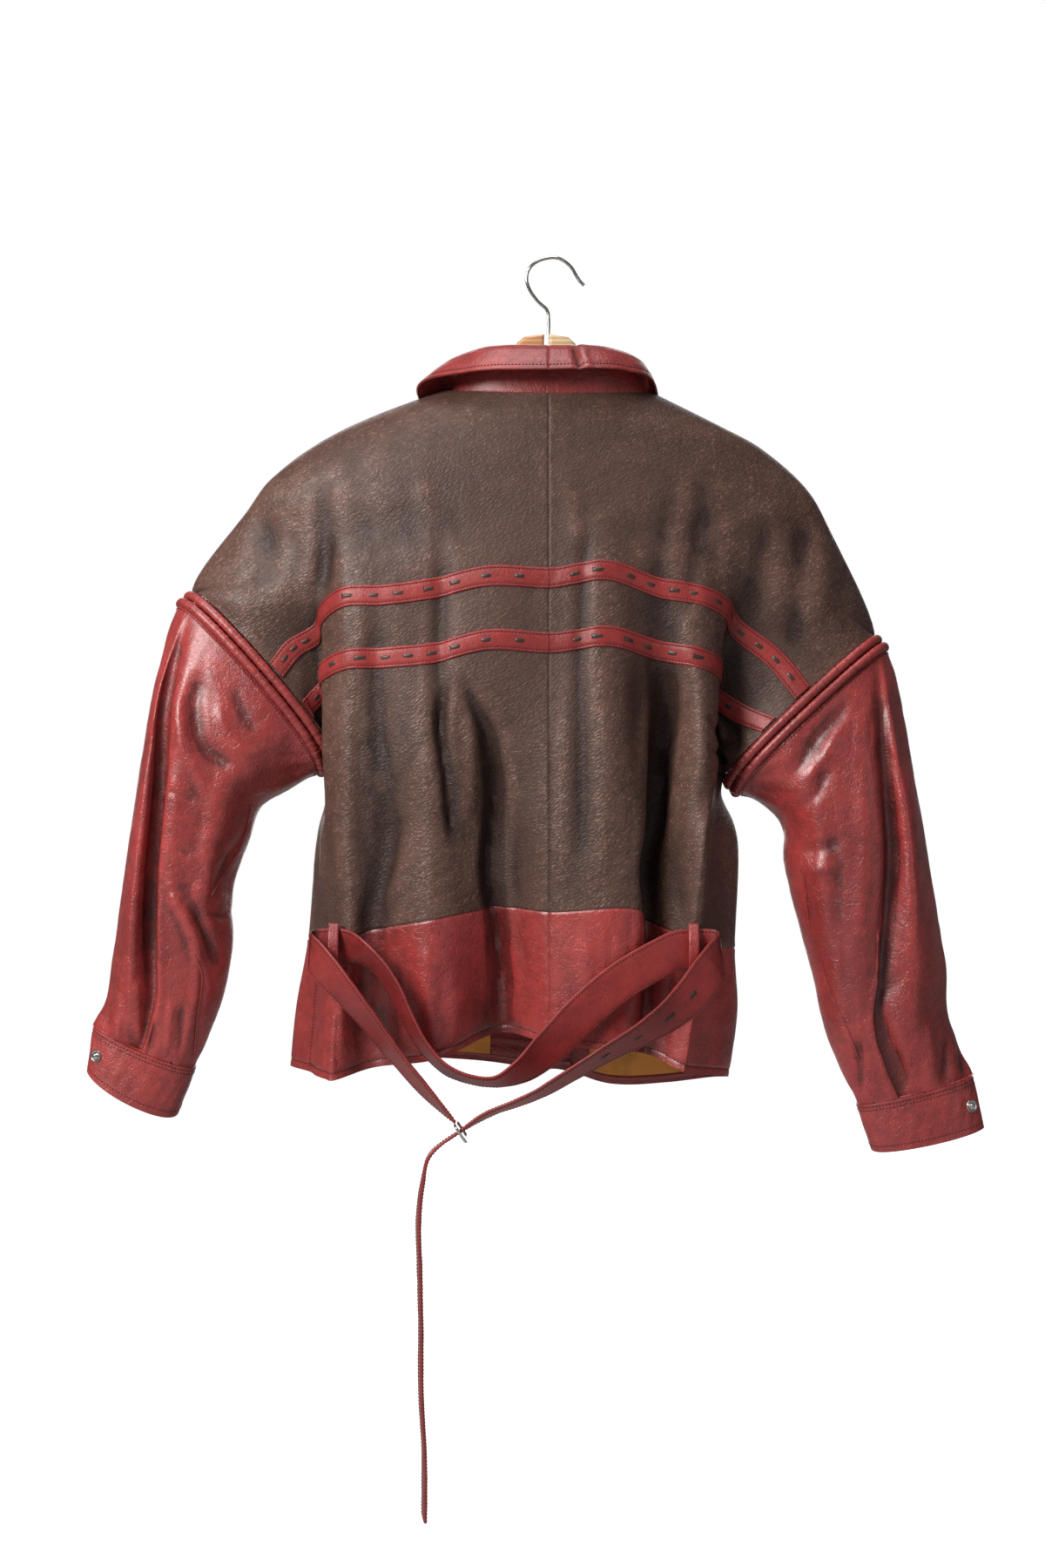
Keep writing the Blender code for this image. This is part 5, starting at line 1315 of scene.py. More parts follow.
class JACKET_OT_fronts(bpy.types.Operator):
    """Makes the two fronts, their bands, and the lining and facing that show under the back hem."""

    bl_idname = "jacket.fronts"
    bl_label = "Fronts, linings and facing"

    def execute(self, context):
        panels = make_panels()
        columns = (FRONT_PLACES[0], FRONT_PLACES[-1])
        hems = []
        for side, lift in (("left", False), ("right", True)):
            name, panel = f"front_{side}", panels[side]
            body = panel_piece(name, panel, BODY, columns, ("bottom",), lift)
            band = panel_piece(f"band_{name}", panel, BAND, columns, ("top",), lift)
            hems += [
                at_distance(*body, "last", EDGE_STITCH), at_distance(*band, "bottom", HEM_STITCH),
                at_distance(*band, "last", EDGE_STITCH),
            ]
            if side == "left":
                hems.append(at_distance(*band, "first", SEAM_STITCH))
        stitch_rows("stitches_front", hems, thread_material())
        self.line_fronts(panels)
        return {"FINISHED"}

    def line_fronts(self, panels):
        """The lining and the facing inside the front bands."""
        high = -(WALL + 2 * HALF_GAP)
        pieces = (
            ("lining_left", "left", 92, 232, lining_cloth(), 0.0),
            ("facing_left", "left", 233, 294, red_leather(), 0.45),
            ("lining_right", "right", 106, 246, lining_cloth(), 0.0),
        )
        for name, side, start, end, material, rib in pieces:
            heights = places_between(ROWS["band_mid"] - 20, ROWS["hem"] - 9)
            across = places_between(start, end)
            points, normals = panels[side].worn(heights, across)
            ribs = rib * np.sin(heights / 1.9)[:, None, None] * normals
            face, under = points + normals * high, points + normals * (high - LINING_WALL) + ribs
            piece = shell_piece(f"{name}_cloth", face, under, None, material, name)
            declare_sheet(points)


class Strip:
    """A band on the back: its centre line, the ways across and out, and the place of each point on it."""

    def __init__(self, panel, name, columns):
        heights = np.arange(ROWS[name] - 34.0, ROWS[name] + 34.5, 1.0)
        face, normal = panel.worn(heights, columns)
        half = sizes().strip_width / MM / 2
        middle = int(np.argmin(np.abs(heights - ROWS[name])))
        self.shares = np.array([-1.0, -0.94, -0.82, -0.74, -0.66, -0.4, 0.0, 0.4, 0.66, 0.74, 0.82, 0.94, 1.0])
        self.face = np.empty((len(self.shares), len(columns), 3))
        self.up = np.empty_like(self.face)
        for i in range(len(columns)):
            run = run_lengths(face[:, i])
            places = run[middle] + self.shares * half
            self.face[:, i] = at_place(face[:, i], run, places)
            self.up[:, i] = at_place(normal[:, i], run, places)
        self.up = unit(self.up)

    def surface(self):
        """The strip's outer face: turned edges, sewn channels and a low crown."""
        profile = np.array([-0.5, 0.0, 0.25, -0.25, 0.2, 0.4, 0.45, 0.4, 0.2, -0.25, 0.25, 0.0, -0.5])
        return self.face + self.up * (STRIP_LIFT + STRIP_WALL + profile)[:, None, None]

    def row(self, share):
        """A line along the strip at a share of its half width, with its normals."""
        outer = self.surface()
        line = np.array([at_place(outer[:, i], self.shares, share) for i in range(outer.shape[1])])
        return line, self.up[len(self.shares) // 2]


def add_dashes(name, strips, places, material):
    """Short lengths of lace that come up through a slit, lie on the strip and go down through the next slit."""
    length, width = sizes().lace_dash / MM, sizes().lace_width / MM
    shape, slits = bmesh.new(), bmesh.new()
    for bag in (shape, slits):
        # This mask stays at 0 on the lace, so the lace leather reads each dash as a deep fold and darkens it all
        # with painted shade.
        bag.verts.layers.float.new("wear")
    parts = ((shape, length, width, 1.25, (0,)), (slits, 1.0, width + 1.6, 0.25, (-length / 2, length / 2)))
    for (line, ups), spots in zip(strips, places):
        run = run_lengths(line)
        for place in spots:
            spot, ahead = (at_place(line, run, place + step) for step in (0, 1.0))
            up = unit(at_place(ups, run, place))
            along = unit(ahead - spot)
            side = unit(np.cross(up, along))
            for bag, long, wide, crown, ends in parts:
                for shift in ends:
                    grid = bmesh.ops.create_grid(bag, x_segments=8, y_segments=6, size=1.0)["verts"]
                    for vertex in grid:
                        u, v = vertex.co.x, vertex.co.y
                        body = (1 - abs(u) ** 3.0) * (1 - 0.55 * v * v) * crown - 0.35
                        narrow = 1 - 0.12 * u * u
                        point = spot + along * (shift + u * long / 2) + side * v * wide / 2 * narrow + up * body
                        vertex.co = point * MM
    laces = add_piece(name, shape, material)
    # Dark patches at both ends of each dash: painted shade for the slits in the strip.
    add_piece(f"{name}_slits", slits, slit_shade_material())
    return laces


class JACKET_OT_strips(bpy.types.Operator):
    """Makes the two laced strips across the back, their topstitching and the olive lace."""

    bl_idname = "jacket.strips"
    bl_label = "Laced strips"

    def execute(self, context):
        panel = make_panels()["back"]
        centre = BACK_PLACES[CENTRE_COLUMN]
        stitches, laid, places = [], [], []
        for name in LACE_X:
            for side, first, last in (("left", BACK_PLACES[0], centre), ("right", centre, BACK_PLACES[-1])):
                columns = places_between(first, last)
                strip = Strip(panel, name, columns)
                outer = strip.surface()
                inner = strip.face + strip.up * STRIP_LIFT
                at_sleeve, at_centre = ("first", "last") if side == "left" else ("last", "first")
                for grid in (outer, inner):
                    pull_edge(grid, at_sleeve, STRIP_END)
                    pull_edge(grid, at_centre)
                node = f"{name}_{side}"
                wear = rubbing_and_shading_mask(outer, strip.up, 1)
                piece = shell_piece(f"{node}_leather", outer, inner, wear, strip_leather(), node)
                declare_sheet(outer)
                stitches += [strip.row(-STRIP_STITCH), strip.row(STRIP_STITCH)]
                laid.append(strip.row(0.0))
                places.append(self.lace_places(name, side, laid[-1][0]))
        stitch_rows("stitches_strips", stitches, thread_material())
        add_dashes("lace", laid, places, lace_leather())
        return {"FINISHED"}

    def lace_places(self, name, side, line):
        """Where the lace shows, as lengths along the strip's centre line."""
        run = run_lengths(line)
        inside = [x for x in LACE_X[name] if (x < line[-1, 0] if side == "left" else x > line[0, 0])]
        visible = line[:, 0] > -228 if side == "left" else line[:, 0] < 166
        found = []
        for x in inside:
            away = np.where(visible, np.abs(line[:, 0] - x), FAR)
            found.append(run[int(np.argmin(away))])
        end = min(found) if side == "left" else run[-1] - max(found)
        for share in LACE_SIDE[name][side]:
            found.append(end * share * 0.8 + 6 if side == "left" else run[-1] - end * share * 0.9 - 6)
        return found


def ring_shares(trough):
    """Where a sleeve ring's points lie: over the back from the outer to the inner edge, then over the front."""
    wide = (1 - trough) / 4
    return (
        [0, trough / 2, trough, trough + 0.35 * wide, trough + wide, trough + 2 * wide, trough + 3 * wide, 1],
        [0.84, 0.6, 0.38, 0.14],
    )


def ring_section(outer, inner, depth, trough, groove, centre, hang=0.0):
    """A sleeve section as eight points over the back and four over the front."""
    outer = np.array([outer[0], centre, outer[1]], float)
    inner = np.array([inner[0], centre, inner[1]], float)
    over_back, over_front = ring_shares(trough)
    ring = []
    for sign, shares in ((-1, over_back), (1, over_front)):
        for share in shares:
            bulge = depth * (1 - abs(2 * share - 1) ** 2.3) ** (1 / 2.3)
            sunk = groove if sign < 0 and share == trough else 0.0
            drop = -hang * bulge / depth if sign < 0 else 0.0
            ring.append(outer + (inner - outer) * share + (0, sunk + sign * bulge, drop))
    return np.array(ring)


def sleeve_net(side):
    """The sleeve as a net of rings, from its seam to the cuff."""
    start = ROLL_START[side] + 4 * ROLL_RADIUS + 4 * HALF_GAP + 1.0
    over_back, over_front = ring_shares(0.08)
    first = [beside_seam(side, "back", math.acos(1 - 2 * share) / math.pi, start) for share in over_back]
    first += [beside_seam(side, "front", math.acos(1 - 2 * share) / math.pi, start) for share in over_front]
    rings = [np.array(first)]
    sections = SLEEVE_SECTIONS[side]
    for k, (outer, inner, depth, trough, groove) in enumerate(sections):
        hang = CUFFS[side][0][3] if k == len(sections) - 1 else 0.0
        rings.append(ring_section(outer, inner, depth, trough, groove, SLEEVE_CENTRE, hang))
    return np.array(rings)


class JACKET_OT_sleeves(bpy.types.Operator):
    """Makes the two sleeves, with their long folds, elbow hollows and gathers."""

    bl_idname = "jacket.sleeves"
    bl_label = "Sleeves"

    def execute(self, context):
        sewn = []
        for side in SLEEVE_SECTIONS:
            rings = sleeve_net(side)
            around = np.arange(-2, rings.shape[1] + 3)
            ring_points = rings[:, around % rings.shape[1]]
            across = spline_weights(around, np.linspace(0, rings.shape[1], 121))
            down = spline_weights(SLEEVE_PLACES, places_between(SLEEVE_PLACES[0], SLEEVE_PLACES[-1]))
            points = np.einsum("vr,rck,uc->vuk", down, ring_points, across)
            self.tuck_under_roll(points, side)
            if side == "left":
                points = points[:, ::-1]
            normals = grid_normals(points, closed=True)
            if normals[len(normals) // 2, :, 1] @ (points[len(points) // 2, :, 1] - SLEEVE_CENTRE) < 0:
                normals = -normals
            over_back = np.clip(0.25 - 1.6 * normals[..., 1], 0, 1)
            over_front = np.clip(0.25 + 1.6 * normals[..., 1], 0, 1)
            sink = fold_depths(points, SLEEVE_FOLDS[side]) * over_back
            sink += fold_depths(points, SLEEVE_FRONT_FOLDS[side]) * over_front
            sink += creases(points, 26, 0.8, (1, 1, 2.6)) + slack_waves(points, 0.3) + self.gathers(points, side)
            ends = np.minimum(distance_from(points, "top"), distance_from(points, "bottom"))
            sink *= np.clip(ends / 10, 0.1, 1)
            worn = points - normals * sink[..., None]
            worn[:, -1] = worn[:, 0]
            name = f"sleeve_{side}"
            sewn_in = self.sew_into_cuff(worn, side)
            facing = np.concatenate([normals, np.repeat(normals[-1:], 3, axis=0)])
            wear = rubbing_and_shading_mask(sewn_in, facing)
            piece = tube_piece(f"{name}_leather", sewn_in, wear, WALL, red_leather(), name)
            declare_sheet(points)
            sewn.append(at_distance(worn, normals, "top", SLEEVE_STITCH))
            for k, line in enumerate(UNDERARM[side]):
                self.add_welt(f"underarm_{side}_{k + 1}", worn, normals, line)
        stitch_rows("stitches_sleeves", sewn, thread_material())
        return {"FINISHED"}

    def sew_into_cuff(self, points, side):
        """Leads the sleeve's bottom edge to the top edge of the cuff and in under it, to close the seam."""
        turns = np.linspace(0, 2 * math.pi, 361)
        top, low = (np.array([cuff_spot(side, turn, down) for turn in turns]) for down in (0.0, 0.08))
        inward = unit(top.mean(axis=0) - top)
        up = unit(top - low)
        near = np.array([np.argmin(np.linalg.norm(top - spot, axis=1)) for spot in points[-1]])
        inside = CUFF_WALL + 0.4
        rows = (top + inward * 0.5 + up * 0.4, top + inward * inside + up * 0.2, low + inward * inside)
        return np.concatenate([points, [row[near] for row in rows]])

    def add_welt(self, name, points, normals, line):
        """A fine raised welt that lies on the sleeve along a line of (x, z) places."""
        spots, ways = points.reshape(-1, 3), normals.reshape(-1, 3)
        facing = ways[:, 1] < 0
        spots, ways = spots[facing], ways[facing]
        route = []
        for x, _, z in smooth_line([(x, 0, z) for x, z in line], 2.0):
            away = np.hypot(spots[:, 0] - x, spots[:, 2] - z)
            near = np.argsort(away)[:6]
            share = 1 / (away[near] + 0.4)
            route.append((spots[near] + ways[near] * 0.25).T @ share / share.sum())
        # A fixed mask of 0.7: the welt is lightened as rubbing, partly a painted highlight, and takes painted
        # sparkle.
        round_tube(name, smooth_line(route[::3], 1.5), 0.85, 8, red_leather(), wear=0.7)

    def tuck_under_roll(self, points, side):
        """Leads the sleeve's top edge along its own seam, just under the lower roll."""
        over_back, over_front = ring_shares(0.08)
        shares = [*over_back, *over_front, 0.0]
        start = ROLL_START[side] + 4 * ROLL_RADIUS + 2 * HALF_GAP - 0.8
        seam = []
        for place in np.linspace(0, len(shares) - 1, points.shape[1]):
            face = "back" if place <= len(over_back) - 1 else "front"
            share = math.acos(1 - 2 * np.interp(place, range(len(shares)), shares)) / math.pi
            seam.append(beside_seam(side, face, share, start))
        near = np.clip(1 - distance_from(points, "top") / 26, 0, 1)[..., None] ** 2
        points += near * (np.array(seam) - points[0])

    def gathers(self, points, side):
        """Small gathers that fan out from the armpit seam and above the cuff."""
        armpit = np.array(ARMPIT[side], float)
        away = points - armpit
        reach = np.linalg.norm(away, axis=-1)
        turn = np.arctan2(away[..., 2], away[..., 0])
        fan = np.sin(turn * 17) * bell(reach - 34, 34) * 1.3
        above = distance_from(points, "bottom")
        pleats = np.sin(points[..., 0] / 3.4 + 0.6 * np.sin(points[..., 0] / 11)) * np.exp(-above / 26) * 1.2
        return fan + pleats


class JACKET_OT_rolls(bpy.types.Operator):
    """Makes the two padded rolls round each sleeve seam, crinkled by the leather drawn over them."""

    bl_idname = "jacket.rolls"
    bl_label = "Padded rolls"

    def execute(self, context):
        for side in ("left", "right"):
            for k, name in enumerate(("roll_upper", "roll_lower")):
                beyond = ROLL_START[side] + ROLL_RADIUS + k * (2 * ROLL_RADIUS + 2 * HALF_GAP)
                points = seam_loop(side, 140, beyond)
                share = np.arange(len(points)) / len(points)
                armpit = bell(np.abs(share - 0.5), 0.09)
                crinkle = 0.2 * np.sin(share * 620 + 2 * np.sin(share * 57)) + 0.12 * np.sin(share * 290 + k)
                radii = ROLL_RADIUS - 0.18 + crinkle * (1 + 2.4 * armpit)
                # A fixed mask of 0.72 lightens the rolls as rubbing, partly a painted highlight, and gives them
                # painted sparkle.
                roll = round_tube(
                    f"{name}_{side}_leather", points, radii, 18, red_leather(), f"{name}_{side}",
                    ends="loop", wear=0.72,
                )
        return {"FINISHED"}


def cuff_spot(side, turn, down):
    """A point of a cuff's outer face: turn runs round the wrist from the outer edge, down from the top edge."""
    spots = []
    for outer, inner, depth, hang in CUFFS[side]:
        outer = np.array([outer[0], SLEEVE_CENTRE, outer[1]], float)
        inner = np.array([inner[0], SLEEVE_CENTRE, inner[1]], float)
        swing = math.copysign(abs(math.sin(turn)) ** 0.8, math.sin(turn))
        spot = outer + (inner - outer) * (1 - math.cos(turn)) / 2
        spots.append(spot + (0, -depth * swing, -hang * max(swing, 0)))
    return spots[0] * (1 - down) + spots[1] * down


def turned(profile, seat, material, name, node):
    """A turned metal piece: the profile is spun round its axis and set on its seat."""
    shape = bmesh.new()
    corners = [shape.verts.new((radius * MM, 0, height * MM)) for radius, height in profile]
    edges = [shape.edges.new(pair) for pair in zip(corners[:-1], corners[1:])]
    bmesh.ops.spin(
        shape, geom=corners + edges, axis=(0, 0, 1), cent=(0, 0, 0), angle=2 * math.pi, steps=40, use_merge=True
    )
    bmesh.ops.remove_doubles(shape, verts=shape.verts, dist=0.00003)
    bmesh.ops.recalc_face_normals(shape, faces=shape.faces)
    bmesh.ops.transform(shape, matrix=seat, verts=shape.verts)
    return add_piece(name, shape, material, node, 40)


class JACKET_OT_cuffs(bpy.types.Operator):
    """Makes the cuffs with their topstitching, and the metal studs of their snaps."""

    bl_idname = "jacket.cuffs"
    bl_label = "Cuffs and snaps"

    def execute(self, context):
        stitches = []
        for side, edges in CUFFS.items():
            start = CUFF_MOUTH / edges[0][2]
            turns = np.linspace(start, 2 * math.pi - start, 120)
            downs = np.concatenate([[0, 0.012, 0.03], np.linspace(0.06, 0.94, 14), [0.97, 0.988, 1.0]])
            points = np.array([[cuff_spot(side, turn, down) for turn in turns] for down in downs])
            if side == "left":
                points = points[:, ::-1]
            normals = grid_normals(points)
            middle = points.shape[1] // 4
            if normals[5, middle, 1] * (points[5, middle, 1] - SLEEVE_CENTRE) < 0:
                normals = -normals
            share = downs[:, None]
            channels = sum(0.5 * bell(share - at, 0.022) for at in CUFF_STITCHES)
            buckles = 0.7 * np.sin(turns * 9 + share * 5) * np.sin(share * math.pi) ** 2
            buckles = buckles + 0.5 * np.sin(turns * 23 - share * 9) * np.sin(share * math.pi)
            worn = points - normals * (channels + 0.5 * buckles)[..., None]
            name = f"cuff_{side}"
            wear = rubbing_and_shading_mask(worn, normals, 1)
            piece = tube_piece(f"{name}_leather", worn, wear, CUFF_WALL, red_leather(), name)
            rim = piece.modifiers.new("rim", "BEVEL")
            rim.width, rim.segments, rim.limit_method, rim.angle_limit = 0.0007, 2, "ANGLE", math.radians(50)
            declare_sheet(points)
            for at in CUFF_STITCHES:
                row = int(np.argmin(np.abs(downs - at)))
                stitches.append((worn[row], normals[row]))
            self.add_snap(side)
        stitch_rows("stitches_cuffs", stitches, thread_material())
        return {"FINISHED"}

    def add_snap(self, side):
        """The stud: a flat rim and a rounded post with a waist."""
        spot = cuff_spot(side, SNAP_TURN, 0.5)
        round_way = cuff_spot(side, SNAP_TURN + 0.05, 0.5) - cuff_spot(side, SNAP_TURN - 0.05, 0.5)
        normal = unit(np.cross(round_way, cuff_spot(side, SNAP_TURN, 1.0) - cuff_spot(side, SNAP_TURN, 0.0)))
        if normal[1] > 0:
            normal = -normal
        turn = Vector(normal).to_track_quat("Z", "Y").to_matrix().to_4x4()
        seat = Matrix.Translation(Vector((spot + normal * SNAP_SEAT) * MM)) @ turn
        profile = [
            (0.01, 0), (SNAP_RADIUS - 0.3, 0), (SNAP_RADIUS, 0.3), (SNAP_RADIUS, 0.6), (SNAP_RADIUS - 0.3, 1.0),
            (SNAP_RADIUS - 1.0, 1.15), (SNAP_RADIUS - 1.8, 0.85), (4.0, 0.6), (3.0, 0.7), (2.4, 1.2), (1.9, 1.8),
            (2.1, 2.5), (2.2, 3.0), (1.8, 3.4), (1.0, 3.55), (0.01, 3.6),
        ]
        node = f"snap_stud_{side}"
        turned(profile, seat, metal_material(), f"{node}_metal", node)


class JACKET_OT_collar(bpy.types.Operator):
    """Makes the collar's stand and its fall, with the centre seam and topstitching."""

    bl_idname = "jacket.collar"
    bl_label = "Collar"

    def execute(self, context):
        panels = make_panels()
        fold, rim_points = np.array(COLLAR_FOLD, float), np.array(COLLAR_EDGE, float)
        places = places_between(COLLAR_POINTS[1], COLLAR_POINTS[-2])
        high = spline_weights(COLLAR_POINTS, places) @ fold - (0, 0, STAND_DROP)
        low = self.tucked_neck_line(panels, high)
        shares = np.linspace(0, 1, 10)
        stand = np.array([low * (1 - share) + high * share for share in shares])[:, ::-1]
        piece = tube_piece("collar_stand_leather", stand, None, STAND_WALL, red_leather(), "collar_stand")
        declare_sheet(stand)
        stitches = []
        sides = (("right", (0, COLLAR_CENTRE), "last"), ("left", (COLLAR_CENTRE, -1), "first"))
        for side, (first, last), seam in sides:
            fine = ["end" if seam == "last" else "start"]
            spots = places_between(COLLAR_POINTS[first], COLLAR_POINTS[last], fine)
            weights = spline_weights(COLLAR_POINTS, spots)
            crest, rim = weights @ fold, weights @ rim_points
            out = rim - crest
            out[:, 2] = 0
            out = unit(out)
            rows = [crest - out * 1.2 + (0, 0, -0.4)]
            steps = np.concatenate([np.linspace(0.02, 0.85, 16), [0.89, 0.93, 0.96, 0.985, 1.0]])
            rises = np.interp(steps, *FALL_ROWS)
            for share, rise in zip(steps, rises):
                rows.append(crest * (1 - share) + rim * share + out * rise * 0.7 + (0, 0, rise))
            net = np.array(rows)
            normals = grid_normals(net)
            middle = net.shape[1] // 2
            if normals[2, middle] @ (out[middle] + (0, 0, 1)) < 0:
                normals = -normals
            sink = seam_sink(distance_from(net, seam)) + slack_waves(net, 0.35)
            away = distance_from(net, "bottom")
            sink += 0.4 * bell(away - COLLAR_STITCH, 1.4)
            sink -= 0.3 * bell(away - 2.5, 1.6)
            if side == "right":
                sink += fold_depths(net, [([(22, -88), (24, -106), (30, -126)], 2.6, 2.2)])
                sink -= fold_depths(net, [([(29, -88), (31, -106), (36, -124)], 3.0, 1.0)])
            outer = net - normals * sink[..., None]
            inner = outer - normals * WALL
            name = f"collar_fall_{side}"
            wear = rubbing_and_shading_mask(outer, normals, 2)
            piece = shell_piece(f"{name}_leather", outer, inner, wear, red_leather(), name)
            declare_sheet(net)
            stitches.append(at_distance(outer, normals, "bottom", COLLAR_STITCH))
        stitch_rows("stitches_collar", stitches, thread_material())
        return {"FINISHED"}

    def tucked_neck_line(self, panels, fold):
        """Where the stand starts below each point of the collar's fold: just inside the neck edge."""
        neck = [ROWS["neck"]]
        around = [
            panels[side].at(neck, np.linspace(0, FRONT_PLACES[CENTRE_FRONT], 40))[0] for side in ("left", "right")
        ]
        around.append(panels["back"].at(neck, np.linspace(0, BACK_PLACES[-1], 80))[0])
        edge = np.concatenate(around)
        line = []
        for point in fold:
            nearest = edge[np.argmin(np.linalg.norm(edge - point, axis=1))]
            inward = -unit(nearest[:2])
            line.append(nearest + (*(inward * STAND_TUCK[0]), -STAND_TUCK[1]))
        return np.array(line)


def belt_net(shares):
    """The belt as rows of points at shares of its half width, with its normals."""
    line = smooth_line(BELT, 4.0)
    centres, ways = line[:, :3], unit(line[:, 3:])
    half = sizes().belt_width / MM / 2
    points = np.array([centres + ways * half * share for share in shares])
    return points, grid_normals(points)


class JACKET_OT_belt(bpy.types.Operator):
    """Makes the belt with its stitching, its ring buckle and the two loops that hold it."""

    bl_idname = "jacket.belt"
    bl_label = "Belt, buckle and loops"

    def execute(self, context):
        shares = np.array([-1, -0.97, -0.9, -0.84, -0.78, -0.5, 0, 0.5, 0.78, 0.84, 0.9, 0.97, 1])
        thick = np.array([0.45, 0.8, 1.0, 0.86, 1.0, 1.0, 1.0, 1.0, 1.0, 0.86, 1.0, 0.8, 0.45]) * BELT_WALL / 2
        points, normals = belt_net(shares)
        ripple = slack_waves(points, 0.45)[..., None] * normals
        half = normals * thick[:, None, None]
        front, back = points + half - ripple, points - half - ripple
        wear = rubbing_and_shading_mask(front, normals, 1)
        belt = shell_piece("belt_leather", front, back, wear, strip_leather(), "belt")
        stitches = []
        for at in (3, 9):
            stitches += [(front[at], normals[at]), (back[at], -normals[at])]
        sewn = stitch_rows("stitches_belt", stitches, thread_material())
        lace = self.lace_belt(points[6], normals[6])
        declare_sheet(points)
        self.add_buckle()
        for side, (x, top, bottom, face) in LOOPS.items():
            self.add_loop(side, x, top, bottom, face)
        return {"FINISHED"}

    def lace_belt(self, line, ways):
        """The lace that shows on the belt's outer face, past the right loop."""
        run = run_lengths(line)
        places = [run[np.argmin(np.linalg.norm(line[:, [0, 2]] - spot, axis=1))] for spot in BELT_LACE]
        ways = np.where(ways[:, 1:2] > 0, -ways, ways)
        lace = add_dashes("belt_lace", [(line + ways * BELT_WALL / 2, ways)], [places], lace_leather())
        return [lace, bpy.data.objects["belt_lace_slits"]]

    def add_buckle(self):
        """The plain metal ring with its prong."""
        width, height = BUCKLE_SIZE
        turns = np.arange(72) * 2 * math.pi / 72
        first = np.sign(np.cos(turns)) * np.abs(np.cos(turns)) ** 0.35 * width / 2
        second = np.sign(np.sin(turns)) * np.abs(np.sin(turns)) ** 0.35 * height / 2
        up = unit(np.array(BUCKLE_UP, float))
        points = np.array(BUCKLE_AT) + np.outer(first, (0, 1, 0)) + np.outer(second, up)
        round_tube("belt_buckle_metal", points, BUCKLE_WIRE, 12, metal_material(), "belt_buckle", ends="loop")

    def add_loop(self, side, x, top, bottom, face):
        """A narrow strap that stands off the side of the band."""
        out = face - LOOP_REACH
        route = [
            (x, face, top), (x, out + 5, top), (x, out, top - 6), (x, out, bottom + 6), (x, out + 5, bottom),
            (x, face, bottom),
        ]
        line = smooth_line(route, 1.5)
        across = np.linspace(-0.5, 0.5, 7)
        points = np.array([line + (LOOP_WIDTH * share, 0, 0) for share in across])
        name = f"belt_loop_{side}"
        piece = tube_piece(f"{name}_leather", points, None, LOOP_WALL, red_leather(), name)
        declare_sheet(points)


class JACKET_OT_hanger(bpy.types.Operator):
    """Makes the two boards of the coat hanger and its steel hook."""

    bl_idname = "jacket.hanger"
    bl_label = "Coat hanger"

    def execute(self, context):
        # The left board's darker colour is partly painted shade.
        for side, sign, name in (("left", -1, "wood_dark"), ("right", 1, "wood_pale")):
            self.add_board(side, sign, name)
        line = smooth_line([(x, 0, z) for x, z in HOOK], 1.6)
        round_tube("hanger_hook_wire", line, HOOK_WIRE, 16, metal_material(), "hanger_hook")
        return {"FINISHED"}

    def add_board(self, side, sign, wood):
        """One board: its outline filled, its edges rounded, and its droop."""
        curve = bpy.data.curves.new(f"board_{side}", "CURVE")
        curve.dimensions = "2D"
        curve.fill_mode = "BOTH"
        curve.extrude = (BOARD / 2 - BOARD_ROUND) * MM
        curve.bevel_depth = BOARD_ROUND * MM
        curve.bevel_resolution = 5
        curve.offset = -BOARD_ROUND * MM
        line = curve.splines.new("POLY")
        line.points.add(len(HANGER_HALF) - 1)
        top = HANGER_HALF[0][1]
        for spot, (x, z) in zip(line.points, HANGER_HALF):
            spot.co = (sign * (x + HANGER_JOINT) * MM, (top + (z - top) * HANGER_DROOP[side]) * MM, 0, 1)
        line.use_cyclic_u = True
        holder = bpy.data.objects.new("board_outline", curve)
        bpy.context.scene.collection.objects.link(holder)
        mesh = bpy.data.meshes.new_from_object(holder.evaluated_get(bpy.context.evaluated_depsgraph_get()))
        bpy.data.objects.remove(holder)
        shape = bmesh.new()
        shape.from_mesh(mesh)
        bmesh.ops.remove_doubles(shape, verts=shape.verts, dist=MERGE)
        lean = Matrix.Rotation(math.radians(-sign * HANGER_TURN), 4, "Y")
        seat = Matrix.Translation((HANGER_MIDDLE * MM, 0, 0)) @ lean @ Matrix.Rotation(math.pi / 2, 4, "X")
        bmesh.ops.transform(shape, matrix=seat, verts=shape.verts)
        add_piece(f"hanger_{side}_board", shape, wood_material(wood), f"hanger_{side}", 35)


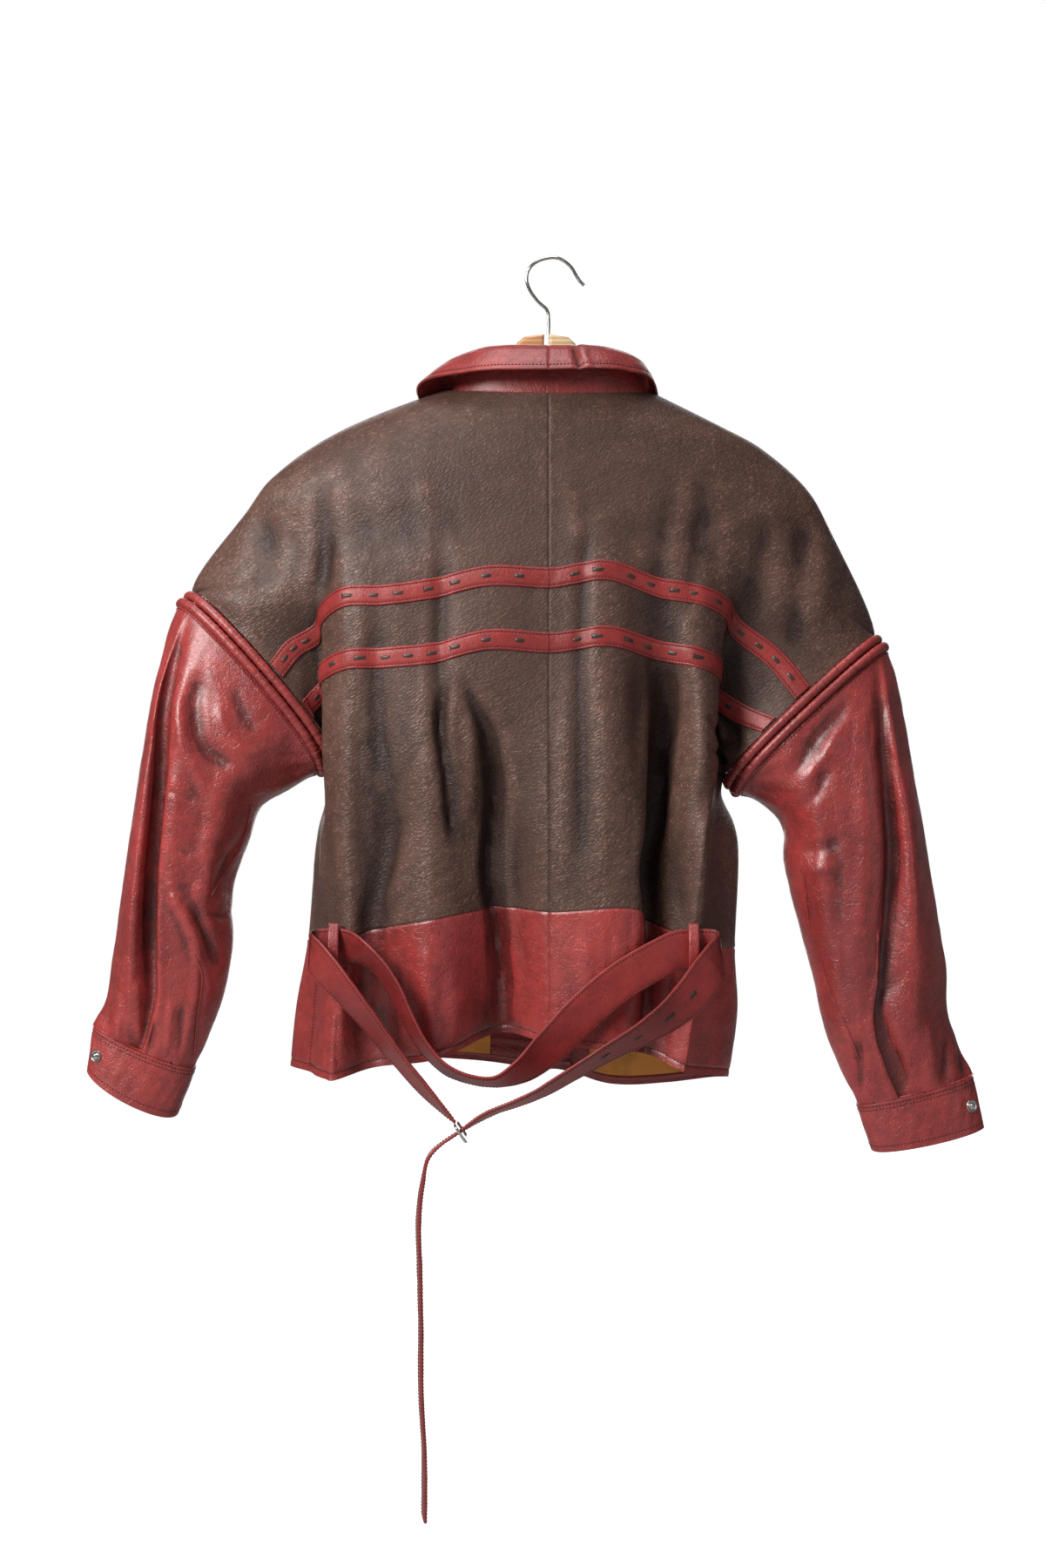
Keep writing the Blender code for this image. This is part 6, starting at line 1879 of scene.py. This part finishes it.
class JACKET_OT_stage(bpy.types.Operator):
    """Sets the camera at the photograph's view, soft studio light and a pale floor."""

    bl_idname = "jacket.stage"
    bl_label = "Camera, light and floor"

    def execute(self, context):
        scene, stage = bpy.context.scene, bpy.context.scene.jacket_stage
        camera = bpy.data.cameras.new("photo_view")
        camera.sensor_fit = "VERTICAL"
        camera.sensor_height = SENSOR
        camera.lens = SENSOR * -CAMERA_AT[1] / (PHOTO_HEIGHT * PIXEL)
        eye = bpy.data.objects.new("photo_view", camera)
        eye.location = Vector(CAMERA_AT) * MM
        eye.rotation_euler = (math.pi / 2, 0, 0)
        scene.collection.objects.link(eye)
        scene.camera = eye
        lights = (
            ("key_light", (-1.75, -1.85, 0.8), 1.3, stage.key_power, (1.0, 0.985, 0.96)),
            ("fill_light", (1.9, -2.4, -0.2), 1.6, stage.fill_power, (0.96, 0.98, 1.0)),
            ("top_light", (-0.3, -0.5, 2.2), 1.6, stage.top_power, (1.0, 1.0, 1.0)),
            ("front_light", (0.0, 2.8, 0.2), 3.2, stage.back_power, (1.0, 0.99, 0.97)),
        )
        for name, place, size, power, colour in lights:
            lamp = bpy.data.lights.new(name, "AREA")
            lamp.shape, lamp.size, lamp.energy, lamp.color = "DISK", size, power, colour
            holder = bpy.data.objects.new(name, lamp)
            holder.location = place
            holder.visible_camera = False
            holder.rotation_euler = (Vector((0, 0, -0.5)) - Vector(place)).to_track_quat("-Z", "Y").to_euler()
            scene.collection.objects.link(holder)
        world = bpy.data.worlds.new("studio")
        world.use_nodes = True
        tree = world.node_tree
        surround = tree.nodes["Background"]
        feed(tree, surround, {"Color": (0.93, 0.94, 0.97, 1), "Strength": stage.surround})
        seen = add_node(tree, "Background", {"Color": (1, 1, 1, 1), "Strength": 1.0})
        camera_ray = add_node(tree, "LightPath").outputs["Is Camera Ray"]
        mix = add_node(tree, "MixShader", {0: camera_ray, 1: surround.outputs[0], 2: seen.outputs[0]})
        feed(tree, tree.nodes["World Output"], {"Surface": mix.outputs[0]})
        scene.world = world
        scene.view_settings.view_transform = "Standard"
        self.add_floor(CAD_BOX[0].z - stage.floor_drop)
        return {"FINISHED"}

    def add_floor(self, height):
        """A wide pale floor below the belt."""
        shape = bmesh.new()
        place = Matrix.Translation((0, 0, height))
        bmesh.ops.create_circle(shape, cap_ends=True, radius=9.0, segments=96, matrix=place)
        mesh = bpy.data.meshes.new("studio_floor")
        shape.to_mesh(mesh)
        shape.free()
        made, tree, shader, position = new_material("pale_floor")
        tone = fade(tree, noise(tree, position, 2.0), 0.3, 0.7)
        colour = blend_colours(tree, tone, (0.42, 0.42, 0.425, 1), (0.46, 0.46, 0.46, 1))
        seen = add_node(tree, "LightPath").outputs["Is Camera Ray"]
        glow = maths(tree, "MULTIPLY", seen, bpy.context.scene.jacket_stage.floor_glow)
        feed(tree, shader, {"Base Color": colour, "Roughness": 0.9, "Specular IOR Level": 0.1})
        feed(tree, shader, {"Emission Color": (1, 1, 1, 1), "Emission Strength": glow})
        mesh.materials.append(made)
        floor = bpy.data.objects.new("studio_floor", mesh)
        bpy.context.scene.collection.objects.link(floor)


PIECES = (
    JACKET_OT_stage, JACKET_OT_backs, JACKET_OT_fronts, JACKET_OT_strips, JACKET_OT_sleeves, JACKET_OT_rolls,
    JACKET_OT_cuffs, JACKET_OT_collar, JACKET_OT_belt, JACKET_OT_hanger,
)


class JACKET_PT_build(bpy.types.Panel):
    """Lists the jacket's pieces, sizes and colours."""

    bl_label = "Leather jacket"
    bl_idname = "JACKET_PT_build"
    bl_space_type = "VIEW_3D"
    bl_region_type = "UI"
    bl_category = "Jacket"

    def draw(self, context):
        for settings in (context.scene.jacket_sizes, context.scene.jacket_colours, context.scene.jacket_stage):
            box = self.layout.box()
            for name in settings.__annotations__:
                box.prop(settings, name)
        for operator in PIECES:
            self.layout.operator(operator.bl_idname)


SETTINGS = {"jacket_sizes": JacketSizes, "jacket_colours": JacketColours, "jacket_stage": JacketStage}


def register():
    for group in (*SETTINGS.values(), *PIECES, JACKET_PT_build):
        bpy.utils.register_class(group)
    for name, group in SETTINGS.items():
        setattr(bpy.types.Scene, name, PointerProperty(type=group))


def unregister():
    for name in SETTINGS:
        delattr(bpy.types.Scene, name)
    for group in (JACKET_PT_build, *reversed(PIECES), *reversed(SETTINGS.values())):
        bpy.utils.unregister_class(group)


def main():
    """Builds the whole jacket."""
    register()
    for operator in PIECES:
        getattr(bpy.ops.jacket, operator.bl_idname.split(".")[1])()


if __name__ == "__main__":
    main()
